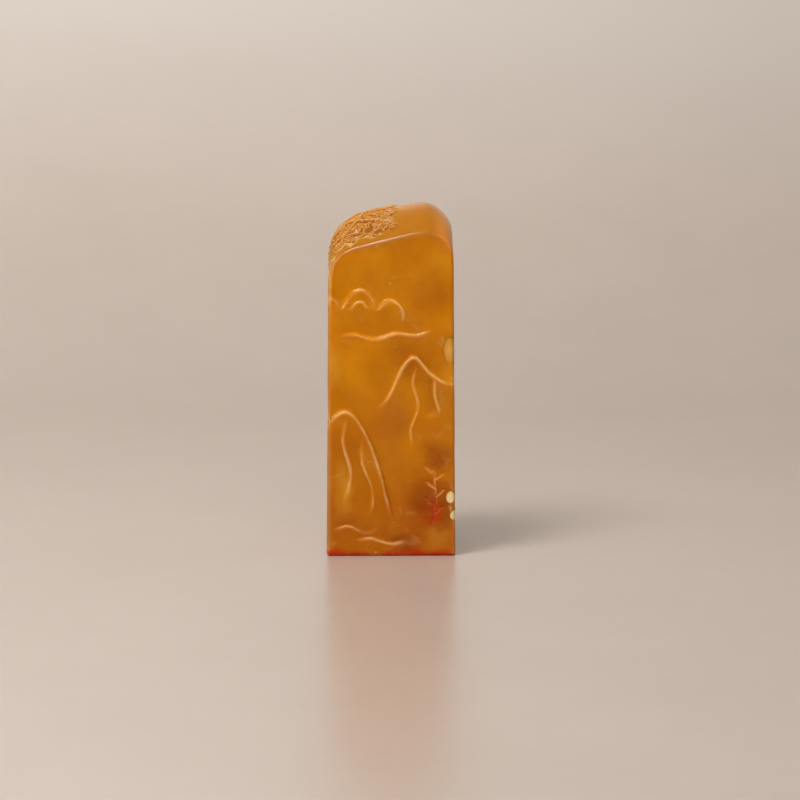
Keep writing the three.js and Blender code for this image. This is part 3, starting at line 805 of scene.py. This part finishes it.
def spray_relief(spots):
    """The spray's height over the smooth skin at each spot [climb, depth]."""
    cover = spray_cover(*spots.T)
    inside = np.flatnonzero(cover > 0)
    spots = spots[inside]
    relief = np.full(len(spots), SPRAY_GROUND)
    for knots in TWIGS:
        chosen, side, share = beside_curve(spots, knots, 0.5)
        radius = 0.34 - 0.14 * share + 0.04 * np.sin(40 * share)
        bar = 0.16 + np.sqrt(np.clip(radius**2 - side**2, 0, 1))
        relief[chosen] = np.maximum(relief[chosen], np.where(np.abs(side) < radius, bar, -1))
    for place in scattered(LEAF_SPACING):
        turn = math.pi + chance.normal(0, 0.5) + 0.5 * math.sin(0.5 * place[1])
        length = chance.uniform(1.5, 2.8)
        width = chance.uniform(0.4, 0.62)
        lift = chance.uniform(-0.06, 0.08)
        add_shape(relief, spots, place, turn, 1.5, lambda a, b: leaf_height(a, b, length, width) + lift)
    for climb, depth, degrees, radius in FLOWERS:
        turn = math.radians(degrees)
        add_shape(relief, spots, (climb, depth), turn, 1.3, lambda a, b: flower_height(a, b, radius))
    for place in scattered(BUD_SPACING):
        radius = chance.uniform(0.16, 0.26)
        add_shape(relief, spots, place, 0, 0.5, lambda a, b: bud_height(a, b, radius))
    settle = np.interp(spots[:, 0], *np.transpose(SETTLED))
    height = np.zeros(len(cover))
    height[inside] = (relief + settle) * cover[inside]
    return height


# %% [markdown]
# ## The sprig low on the front face
#
# A sprig is cut into the front face with a fine knife: a stem and six leaves, each a narrow
# groove that is V-shaped across. Dried seal paste is left in the lower half of the grooves.

# %% Sprig
SPRIG_FOOT = 5.4
SPRIG_HEIGHT = 10.2
# leaves as [share of the stem's height, side: 1 for the right and -1 for the left]
SPRIG_LEAVES = [[0.2, 1], [0.33, -1], [0.48, 1], [0.61, -1], [0.76, 1], [0.87, -1]]
LEAF_TURN = 52  # degrees from the stem
GROOVE = 0.34  # deepest cut in mm


def stem_place(share):
    """A place on the stem, with share 0 at its foot and 1 at its tip."""
    return np.array([7 + 0.5 * math.sin(math.pi * share), SPRIG_FOOT + SPRIG_HEIGHT * share])


def sprig_depth(spots):
    """How deep the sprig is cut at each spot [x, height] of the front face."""
    deep = np.zeros(len(spots))
    knots = [stem_place(share) for share in np.linspace(0, 1, 6)]
    chosen, side, share = beside_curve(spots, knots, 0.4)
    half = 0.24 * smooth_step((1 - share) / 0.15) * smooth_step(share / 0.08)
    deep[chosen] = GROOVE * np.clip(1 - np.abs(side) / np.maximum(half, 1e-6), 0, 1)
    for share, hand in SPRIG_LEAVES:
        turn = math.radians(90 - LEAF_TURN * hand)
        ahead = np.array([math.cos(turn), math.sin(turn)])
        gap = spots - stem_place(share) - 0.9 * ahead
        along = gap @ ahead
        across = gap @ np.array([-ahead[1], ahead[0]])
        half = 0.36 * np.clip(1 - (along / 1.25) ** 2, 0, 1) ** 0.8
        groove = GROOVE * np.clip(1 - np.abs(across) / np.maximum(half, 1e-6), 0, 1)
        deep = np.maximum(deep, np.where(half > 0.02, groove, 0))
    return deep


# %% [markdown]
# ## Wear
#
# A stone rubbed by hand is never quite flat. Slow waves of a few hundredths of a millimetre bend
# the reflections a little, and small nicks break the long upright edges.


# %% Wear
def waves(points, size, seed):
    """Gentle, irregular waves of about this size, from -1 to 1."""
    chance = np.random.default_rng(seed)
    total = np.zeros(len(points))
    for _ in range(9):
        way = chance.normal(size=3)
        way *= 2 * math.pi / size / np.linalg.norm(way) * chance.uniform(0.7, 1.3)
        total += np.sin(points @ way + chance.uniform(0, 2 * math.pi))
    return np.clip(total / 3, -1, 1)


def nicks(points, seed, count=34):
    """Depth of small nicks along the upright edges."""
    chance = np.random.default_rng(seed)
    deep = np.zeros(len(points))
    for _ in range(count):
        corner = chance.choice([-1, 1], 2) * (HALF_WIDTH - 0.3)
        place = np.array([*corner, chance.uniform(2, 52)])
        size = chance.uniform(0.25, 0.6)
        near = np.exp(-(((points - place) / [size, size, 1.6 * size]) ** 2).sum(axis=1))
        deep = np.maximum(deep, chance.uniform(0.04, 0.11) * near)
    return deep


# %% Carve
points = points_of(stone)
places = block_places(points)
on_side = ~places["on_top"]
run = places["run"]
spots = np.column_stack([run, places["height"]])
sunk, raised = cut_relief(spots)
to_corner = np.abs((run / FACE_WIDTH) % 1 - 0.5) * FACE_WIDTH
fade = 0.25 + 0.75 * smooth_step(to_corner / 1.8)
on_front_or_back = np.abs(places["depth"]) > 10
under_top = np.where(on_front_or_back, places["below_top"] / 1.2, (46 - places["height"]) / 2)
fade *= smooth_step(under_top)
room = np.clip(places["height"] / 8, 0, 1)
relief = np.where(on_side, (raised * room - sunk) * fade, 0)


def where_spray_is(points, places):
    """Which points lie on the top and the left side, where the spray is carved."""
    return (places["height"] > CLIMB_FROM) & (points[:, 0] < 4) & (np.abs(places["depth"]) < 10.4)


hung = where_spray_is(points, places)
climb_spots = np.column_stack([places["climb"], places["depth"]])
relief[hung] += spray_relief(climb_spots[hung])

front = on_side & (points[:, 1] < -9) & (points[:, 2] < 18)
relief[front] -= sprig_depth(points[front][:, ::2])

relief -= 0.016 * (1 + waves(points, 8, 3)) + 0.006 * (1 + waves(points, 2.6, 4))
relief -= nicks(points, 5)
set_points(stone, onto_skin(points, places, relief))
print("deepest and highest in mm:", round(float(relief.min()), 2), round(float(relief.max()), 2))

# %% Polish
STONE_TRIANGLES = 190000
apply_modifier(stone, "SMOOTH", factor=0.5, iterations=2)
count = triangles(stone)
if count > STONE_TRIANGLES:
    apply_modifier(stone, "DECIMATE", ratio=STONE_TRIANGLES / count)
print("stone triangles:", triangles(stone))

# %% [markdown]
# ## The pale nodules
#
# Three pale nodules grew in the stone beside its right edge, and the carver rubbed them flush with
# its skin. Each is a ball squeezed to its size. The block's own skin trims it, and then it is cut
# out of the block with a hair's breadth of room.

# %% Nodules
GAP = 0.01 * MM


def boolean(piece, operation, other):
    """Cuts a piece with another, or keeps what both share."""
    apply_modifier(piece, "BOOLEAN", operation=operation, solver="MANIFOLD", object=other)


def ball(name, middle, half_size):
    """A smooth ball squeezed to half_size, with its place in its mesh."""
    bpy.ops.object.select_all(action="DESELECT")
    bpy.ops.mesh.primitive_uv_sphere_add(segments=64, ring_count=32, radius=1, location=middle)
    piece = bpy.context.object
    piece.name = name
    piece.scale = half_size
    bpy.ops.object.transform_apply(location=True, rotation=True, scale=True)
    return piece


# centre and half sizes in millimetres
NODULE_SIZES = {
    "pale_nodule_low": [(10.8, -10.8, 7.02), (0.75, 0.9, 0.85)],
    "pale_nodule_middle": [(10.15, -10.75, 10.12), (0.75, 0.9, 1.08)],
    "pale_nodule_high": [(10.25, -10.65, 35.28), (1.1, 1.2, 2.2)],
}
nodules = []
for name, (middle, half_size) in NODULE_SIZES.items():
    share = 1 - NARROWING / FACE_WIDTH * middle[2] / HEIGHT
    drawn_in = Vector((share, share, 1))
    middle = Vector(middle) * drawn_in * MM
    half_size = Vector(half_size) * drawn_in * MM
    nodule = ball(name.replace("pale_nodule", "grown_nodule"), middle, half_size)
    boolean(nodule, "INTERSECT", stone)
    pocket = ball("pocket", middle, half_size + Vector((GAP, GAP, GAP)))
    boolean(stone, "DIFFERENCE", pocket)
    bpy.data.objects.remove(pocket)
    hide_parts(name)
    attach(nodule, "root")
    nodules.append(nodule)
    print(nodule.name, "box in mm:", [round(v / MM, 2) for v in nodule.dimensions])

SMOOTH_BELOW = math.radians(50)  # edges sharper than this keep a hard line
for piece in [stone, *nodules]:
    choose(piece)
    bpy.ops.object.shade_smooth_by_angle(angle=SMOOTH_BELOW)

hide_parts("seal_stone")
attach(stone, "root")
print("stone triangles:", triangles(stone))

# %% [markdown]
# ## Crests and hollows
#
# The crests of the carving are painted pale, a painted highlight, and wax makes them shiny, while
# its hollows are painted darker as painted shade. Each point of the stone keeps how far it is a
# crest or a hollow, whether it lies on the top, and how deep in the sprig it is, as attributes that
# the material reads. The rims of the nodules and of the sprig's grooves are sharp too, but they get
# no painted highlight and no painted shade.


# %% Neighbours
def neighbours(ends, size):
    """How many edges meet at each point."""
    a, b = ends
    return np.maximum(np.bincount(a, minlength=size) + np.bincount(b, minlength=size), 1)


def mixed(values, ends, rounds):
    """Values at points, each mixed with those of its neighbours several times."""
    a, b = ends
    count = neighbours(ends, len(values))
    for _ in range(rounds):
        total = np.bincount(a, values[b], len(values)) + np.bincount(b, values[a], len(values))
        values = 0.5 * values + 0.5 * total / count
    return values


def bulge_of(piece, points, ends):
    """How sharply the skin bulges at each point, in 1/mm. It is below 0 where the skin is hollow."""
    normals = rows_of(piece.data.vertices, "normal")
    a, b = ends
    step = points[b] - points[a]
    turned = ((normals[b] - normals[a]) * step).sum(axis=1) / np.maximum((step**2).sum(axis=1), 1e-4)
    total = np.bincount(a, turned, len(points)) + np.bincount(b, turned, len(points))
    return total / neighbours(ends, len(points))


def keep(piece, name, values):
    """Keeps a value at each point of a piece as an attribute."""
    attribute = piece.data.attributes.new(name, "FLOAT", "POINT")
    attribute.data.foreach_set("value", values.astype(np.float32))
    print(name, "- points over one half:", int((values > 0.5).sum()))


# %% Crests and hollows
points = points_of(stone)
places = block_places(points)
flat = np.empty(2 * len(stone.data.edges), dtype=np.int32)
stone.data.edges.foreach_get("vertices", flat)
ends = flat.reshape(-1, 2).T
bulge = mixed(bulge_of(stone, points, ends), ends, 2)
print("bulge at the 5th and 95th point of 100:", np.percentile(bulge, [5, 95]).round(2))
cover = spray_cover(places["climb"], places["depth"])
cover = np.where(where_spray_is(points, places), cover, 0)
spots = np.column_stack([places["run"], places["height"]])
lips = np.where(places["on_top"] | (places["outside"] < -1), 0, cut_relief(spots)[1] / LIP)
# the lips get a painted highlight, stronger in some places than in others
lip_highlight_share = np.clip(0.6 + 0.5 * waves(points, 7, 6), 0.15, 1)
crest = np.maximum(smooth_step((bulge - 0.3) / 0.75), lip_highlight_share * smooth_step(lips) ** 2)
x, y, z = points.T
front = (y < -9) & (z < 18)
# no painted highlight and no painted shade on the sprig and round the nodules
no_painted_light = front & (x > 4) & (x < 10.2) & (z > 4) & (z < 17)
for middle, half_size in NODULE_SIZES.values():
    no_painted_light |= (((points - middle) / half_size) ** 2).sum(axis=1) < 1.8
crest[no_painted_light] = 0
# the painted highlight, and the wax with it, fades out along the top towards the right
crest *= 1 - 0.85 * smooth_step((x - 1) / 5) * smooth_step((z - 50) / 1.5)
bulge[no_painted_light] = 0
# painted highlight on crests and lips, weaker in the spray
keep(stone, "crest", crest * (1 - 0.68 * cover))
sprig = np.zeros(len(points))
sprig[front] = np.clip(sprig_depth(points[front][:, ::2]) / GROOVE * 1.6, 0, 1)
keep(stone, "sprig", sprig)
# painted shade: the hollows are darkened in the colour, most of all between the leaves of the spray
keep(stone, "hollow", smooth_step((-bulge - 0.3) / 1.6) * (0.15 + 0.85 * cover) * (1 - sprig))
# the top's mask: its duller, darker colour is partly the stone's own and partly painted shade; it also
# thickens the wax
crown = mixed(places["on_top"].astype(float), ends, 3) * smooth_step((z - 45) / 7)
keep(stone, "crown", crown)

# %% [markdown]
# ## Patterns that the materials share
#
# Soft spots, clouds, wisps, veins and specks are used by more than one material, so they come from
# two node groups. Each reads the place on the object in metres and puts out masks from 0 to 1.


# %% Group helper
def new_group(name, inputs, outputs):
    """An empty node group with sockets given as {name: default value}."""
    group = bpy.data.node_groups.new(name, "ShaderNodeTree")
    for socket, value in inputs.items():
        kind = "NodeSocketVector" if isinstance(value, tuple) else "NodeSocketFloat"
        made = group.interface.new_socket(socket, in_out="INPUT", socket_type=kind)
        made.default_value = value
    for socket in outputs:
        group.interface.new_socket(socket, in_out="OUTPUT", socket_type="NodeSocketFloat")
    return group, group.nodes.new("NodeGroupInput").outputs, group.nodes.new("NodeGroupOutput").inputs


def place_group(tree, group, inputs):
    """A node group placed in a material with its own values."""
    return add_node(tree, "ShaderNodeGroup", inputs, node_tree=group).outputs


def ramp(tree, value, low, high, start=0.0, end=1.0):
    """Goes smoothly from start to end as value goes from low to high."""
    node = add_node(tree, "ShaderNodeMapRange", {0: value}, interpolation_type="SMOOTHSTEP")
    for socket, number in zip((1, 2, 3, 4), (low, high, start, end)):
        node.inputs[socket].default_value = number
    return node.outputs[0]


def arithmetic(tree, operation, a, b):
    """One sum of two numbers or outputs."""
    return add_node(tree, "ShaderNodeMath", {0: a, 1: b}, operation=operation).outputs[0]


def vector_sum(tree, operation, a, b):
    """One sum of two vectors."""
    return add_node(tree, "ShaderNodeVectorMath", {0: a, 1: b}, operation=operation).outputs[0]


def axis(tree, position, name):
    """The x, y or z of a position."""
    return add_node(tree, "ShaderNodeSeparateXYZ", {0: position}).outputs[name]


def swirled_place(tree, position, scale, detail, reach):
    """A position pushed about by noise, as far as reach to each side, which makes soft edges swirl."""
    swirl = noise_at(tree, position, scale, detail, "Color")
    swirl = vector_sum(tree, "SUBTRACT", swirl, (0.5, 0.5, 0.5))
    swirl = vector_sum(tree, "MULTIPLY", swirl, (2 * reach, 2 * reach, 2 * reach))
    return vector_sum(tree, "ADD", position, swirl)


# %% Soft spot
soft_spot, given, result = new_group(
    "soft_spot",
    {"Position": (0, 0, 0), "Centre": (0, 0, 0), "Half Size": (0.001, 0.001, 0.001), "Core": 0.2},
    ["Mask"],
)
gap = vector_sum(soft_spot, "SUBTRACT", given["Position"], given["Centre"])
gap = vector_sum(soft_spot, "DIVIDE", gap, given["Half Size"])
gap = add_node(soft_spot, "ShaderNodeVectorMath", {0: gap}, operation="LENGTH")
mask = add_node(
    soft_spot,
    "ShaderNodeMapRange",
    {0: gap.outputs["Value"], 1: 1.0, 2: given["Core"], 3: 0.0, 4: 1.0},
    interpolation_type="SMOOTHSTEP",
)
soft_spot.links.new(mask.outputs[0], result["Mask"])

# %% Clouds, veins and specks
stone_pattern, given, result = new_group(
    "stone_pattern", {"Position": (0, 0, 0)}, ["Cloud", "Wisp", "Vein", "Speck"]
)
place = given["Position"]
cloud = noise_at(stone_pattern, place, 95, 3, Roughness=0.55)
stone_pattern.links.new(ramp(stone_pattern, cloud, 0.34, 0.66), result["Cloud"])
wisp = noise_at(stone_pattern, place, 240, 5, Roughness=0.62, Distortion=0.7)
stone_pattern.links.new(ramp(stone_pattern, wisp, 0.36, 0.7), result["Wisp"])
crack = noise_at(stone_pattern, place, 70, 4, Roughness=0.5, Distortion=1.2)
crack = arithmetic(stone_pattern, "SUBTRACT", crack, 0.47)
crack = arithmetic(stone_pattern, "ABSOLUTE", crack, 0.0)
crack = ramp(stone_pattern, crack, 0.03, 0.0)
broken = ramp(stone_pattern, wisp, 0.5, 0.6)
stone_pattern.links.new(arithmetic(stone_pattern, "MULTIPLY", crack, broken), result["Vein"])
cell = add_node(stone_pattern, "ShaderNodeTexVoronoi", {"Vector": place, "Scale": 420})
dot = ramp(stone_pattern, cell.outputs["Distance"], 0.1, 0.03)
pick = add_node(stone_pattern, "ShaderNodeSeparateColor", {0: cell.outputs["Color"]}).outputs[0]
pick = ramp(stone_pattern, pick, 0.86, 0.88)
stone_pattern.links.new(arithmetic(stone_pattern, "MULTIPLY", dot, pick), result["Speck"])
print("node groups:", [group.name for group in bpy.data.node_groups])

# %% [markdown]
# ## Honey stone
#
# The stone is waxy and lets light in a little way, so it glows softly and its relief has no hard
# shadows. It is golden at the top, and redder and darker towards the foot, with clouds of red,
# honey and yellow, a few pale wisps, veins and specks, and red seal paste rubbed into the skin at
# the foot and round the sprig. Painted light lies over this: a painted sheen on the left side and
# down the right edge, a duller top that is partly painted shade, a painted brighter rim at the
# right of the top, painted highlights on the crests, painted shade in the hollows, and a paler
# upper sprig that is partly dust and partly a painted glint. Its colour is built up in layers,
# each a mask and the colour that shows through it.

# %% Masks of the honey stone
honey, tree, shader = new_material(
    "honey_stone",
    Roughness=0.2,
    Specular_IOR_Level=0.06,
    Subsurface_Weight=1.0,
    Subsurface_Scale=0.0014,
    IOR=1.5,
    Coat_Roughness=0.13,
)
shader.inputs["Subsurface Radius"].default_value = (1.0, 0.5, 0.2)
position = add_node(tree, "ShaderNodeTexCoord").outputs["Object"]
swirled = swirled_place(tree, position, 210, 3, 0.003)
height = axis(tree, position, "Z")
across = axis(tree, position, "X")
pattern = place_group(tree, stone_pattern, {"Position": position})
crown, crest, hollow, sprig = (
    add_node(tree, "ShaderNodeAttribute", attribute_name=name).outputs["Fac"]
    for name in ("crown", "crest", "hollow", "sprig")
)


def spot_mask(places, core, position):
    """One mask of soft spots, given as centre and half size in millimetres and strength."""
    total = None
    for centre, half_size, strength in places:
        values = {"Position": position, "Core": core}
        values["Centre"] = tuple(v * MM for v in centre)
        values["Half Size"] = tuple(v * MM for v in half_size)
        mask = arithmetic(tree, "MULTIPLY", place_group(tree, soft_spot, values)["Mask"], strength)
        total = mask if total is None else arithmetic(tree, "MAXIMUM", total, mask)
    return total


def share_of(mask, strength):
    """A mask made weaker."""
    return arithmetic(tree, "MULTIPLY", mask, strength)


yellow_clouds = spot_mask(
    [
        [(8.6, -10, 26), (2.8, 5, 5), 0.25],
        [(10, -9, 32), (2, 4, 3.2), 0.3],
        [(-9.8, -9, 33), (2.4, 5, 5.5), 0.8],
        [(-8, -10, 11.5), (2.8, 5, 6.5), 0.75],
        [(8.2, -10, 3.6), (3.4, 5, 2.2), 0.4],
        [(7.5, -10, 49.5), (3.2, 5, 3.4), 0.2],
        [(-4, 9, 30), (6, 4, 9), 0.8],
        [(9, 5, 42), (3, 6, 7), 0.7],
    ],
    0.1,
    swirled,
)
hazy_clouds = spot_mask(
    [
        [(0.2, -10, 24), (4.4, 5, 8), 0.8],
        [(3.5, -10, 40), (3, 5, 3), 0.4],
        [(4, 10, 12), (5, 4, 8), 0.8],
    ],
    0.1,
    swirled,
)
red_clouds = spot_mask(
    [
        [(8.4, -10, 17.4), (4.4, 5, 4), 0.7],
        [(2.4, -10, 1.8), (4.5, 5, 3), 1.0],
        [(3.5, -10, 33), (5, 5, 5), 0.4],
        [(7, -10, 45), (5, 5, 7), 0.3],
        [(8, -10, 27), (4, 5, 5), 0.35],
        [(7, -10, 8.6), (6, 5, 7), 0.9],
        [(-6, 10, 8), (4, 5, 5), 0.9],
        [(11, 2, 14), (3, 6, 8), 0.7],
    ],
    0.1,
    swirled,
)

# %% Red paste in the skin
stain = noise_at(tree, position, 260, 4)
grit = noise_at(tree, position, 1300, 3)
stain_low = arithmetic(tree, "SUBTRACT", height, share_of(stain, 0.004))
stain_low = ramp(tree, stain_low, -0.0009, -0.0018, 0.0, 0.95)
foot_stain = spot_mask(
    [
        [(-6.5, -11, 0.2), (2.6, 2, 1.1), 0.95],
        [(0.4, -11, 0.2), (3.4, 2, 1.2), 0.95],
        [(8.8, -11, 0.3), (2.4, 2, 1.3), 0.95],
    ],
    0.2,
    position,
)
foot_stain = arithmetic(tree, "MULTIPLY", foot_stain, ramp(tree, grit, 0.36, 0.56, 0.35, 1.0))
sprig_stain = spot_mask([[(6.8, -11, 6.9), (2.7, 1.5, 2.3), 1.0]], 0.4, position)
sprig_stain = arithmetic(tree, "MULTIPLY", sprig_stain, ramp(tree, grit, 0.44, 0.6, 0.1, 0.75))
red_sprig = arithmetic(tree, "MULTIPLY", sprig, ramp(tree, height, 0.0105, 0.0088))
# the upper sprig grooves are paled, partly by dust and partly as a painted glint that lifts their shade
sprig_dust_and_glint = arithmetic(tree, "MULTIPLY", sprig, ramp(tree, grit, 0.4, 0.55, 0.6, 1.0))
stained = arithmetic(tree, "MAXIMUM", stain_low, sprig_stain)
stained = arithmetic(tree, "MAXIMUM", stained, foot_stain)
stained = arithmetic(tree, "MAXIMUM", stained, red_sprig)

# %% Colour of the honey stone
# painted light: the right rim of the top is painted brighter and gets less wax
painted_rim_light = arithmetic(tree, "MULTIPLY", crown, ramp(tree, across, 0.0066, 0.0098))
layers = [
    (ramp(tree, height, 0.034, 0.0, 0.0, 0.75), (184, 95, 8)),
    (red_clouds, (160, 68, 5)),
    (hazy_clouds, (198, 118, 26)),
    (yellow_clouds, (224, 160, 44)),
    (share_of(pattern["Wisp"], 0.1), (232, 170, 60)),
    (share_of(pattern["Vein"], 0.16), (236, 180, 96)),
    (share_of(pattern["Speck"], 0.55), (245, 205, 130)),
    # painted sheen: the left side and its edge are painted a duller, paler tan
    (ramp(tree, across, -0.0099, -0.0107, 0.0, 0.65), (180, 132, 78)),
    # painted sheen down the right edge
    (ramp(tree, across, 0.01, 0.0107, 0.0, 0.5), (210, 136, 66)),
    # the top: a duller, darker tone, partly the stone's own and partly painted shade
    (share_of(crown, 0.85), (178, 112, 22)),
    # painted light on the right rim of the top
    (share_of(painted_rim_light, 0.8), (236, 150, 62)),
    # painted shade in the hollows
    (share_of(hollow, 0.6), (132, 66, 12)),
    # painted highlight on the crests and lips
    (share_of(crest, 0.6), (245, 202, 128)),
    # dust and painted glint in the upper sprig
    (sprig_dust_and_glint, (242, 172, 88)),
    (stained, (204, 56, 6)),
]
colour_now = blend(tree, pattern["Cloud"], colour(227, 149, 5), colour(213, 130, 4))
for mask, tint in layers:
    colour_now = blend(tree, mask, colour_now, colour(*tint))
tree.links.new(colour_now, shader.inputs["Base Color"])
print("layers of colour in the honey stone:", len(layers))

# %% Shine of the honey stone
rough = ramp(tree, noise_at(tree, position, 330, 3), 0.3, 0.7, 0.15, 0.23)
rough = arithmetic(tree, "ADD", rough, share_of(hollow, 0.2))
rough = arithmetic(tree, "ADD", rough, share_of(stained, 0.15))
tree.links.new(rough, shader.inputs["Roughness"])
# less wax on the painted bright rim
wax = arithmetic(tree, "SUBTRACT", share_of(crown, 0.9), painted_rim_light)
wax = arithmetic(tree, "MAXIMUM", crest, wax)
tree.links.new(ramp(tree, wax, 0.0, 1.0, 0.1, 0.41), shader.inputs["Coat Weight"])
grain = noise_at(tree, position, 1500, 2)
bump = add_node(tree, "ShaderNodeBump", {"Strength": 0.12, "Distance": 0.00002, "Height": grain})
tree.links.new(bump.outputs[0], shader.inputs["Normal"])
stone.data.materials.clear()
stone.data.materials.append(honey)

# %% [markdown]
# ## Pale stone
#
# The nodules are the same waxy stone without its honey colour. Their cream colour is clear in the
# middle and fades into honey towards the rim, most of all in the largest one, which lies deeper.

# %% Pale stone
pale, tree, shader = new_material("pale_stone", Roughness=0.2, Specular_IOR_Level=0.3)
position = add_node(tree, "ShaderNodeTexCoord").outputs["Object"]
swirled = swirled_place(tree, position, 700, 2, 0.0004)
pattern = place_group(tree, stone_pattern, {"Position": position})
clear = spot_mask(
    [
        [(10.75, -10.75, 7.02), (0.95, 1.1, 1.05), 1.0],
        [(10.1, -10.7, 10.12), (0.95, 1.1, 1.3), 1.0],
    ],
    0.5,
    swirled,
)
deep_lying = spot_mask([[(9.95, -10.4, 35.28), (1.15, 1.4, 2.3), 0.7]], 0.1, swirled)
cream = blend(tree, pattern["Wisp"], colour(250, 216, 150), colour(255, 230, 180))
colour_now = blend(tree, clear, colour(222, 146, 42), cream)
colour_now = blend(tree, deep_lying, colour_now, colour(236, 180, 84))
tree.links.new(colour_now, shader.inputs["Base Color"])
tree.links.new(ramp(tree, pattern["Cloud"], 0.0, 1.0, 0.16, 0.24), shader.inputs["Roughness"])
for nodule in nodules:
    nodule.data.materials.clear()
    nodule.data.materials.append(pale)

# %% [markdown]
# ## Dried seal paste
#
# Seal paste is red pigment in oil and fibre. Dried, it is a dull, slightly lumpy crust.

# %% Dried seal paste
paste, tree, shader = new_material("dried_seal_paste", Roughness=0.7, Specular_IOR_Level=0.2)
position = add_node(tree, "ShaderNodeTexCoord").outputs["Object"]
lumps = noise_at(tree, position, 900, 5)
dust = noise_at(tree, position, 260, 3)
colour_now = blend(tree, ramp(tree, lumps, 0.35, 0.65), colour(190, 50, 6), colour(224, 82, 16))
colour_now = blend(tree, ramp(tree, dust, 0.5, 0.75, 0.0, 0.4), colour_now, colour(190, 96, 52))
tree.links.new(colour_now, shader.inputs["Base Color"])
tree.links.new(ramp(tree, dust, 0.3, 0.7, 0.62, 0.85), shader.inputs["Roughness"])
bump = add_node(tree, "ShaderNodeBump", {"Strength": 0.8, "Distance": 0.00005, "Height": lumps})
tree.links.new(bump.outputs[0], shader.inputs["Normal"])
plain = {"seal_stone": honey, "face_paste": paste, "sprig_paste": paste}
for name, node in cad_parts.items():
    node.data.materials.clear()
    node.data.materials.append(plain.get(name, pale))
print("materials:", [honey.name, pale.name, paste.name])

# %% Colour management and closing lines
scene = bpy.context.scene
scene.view_settings.view_transform = "Standard"
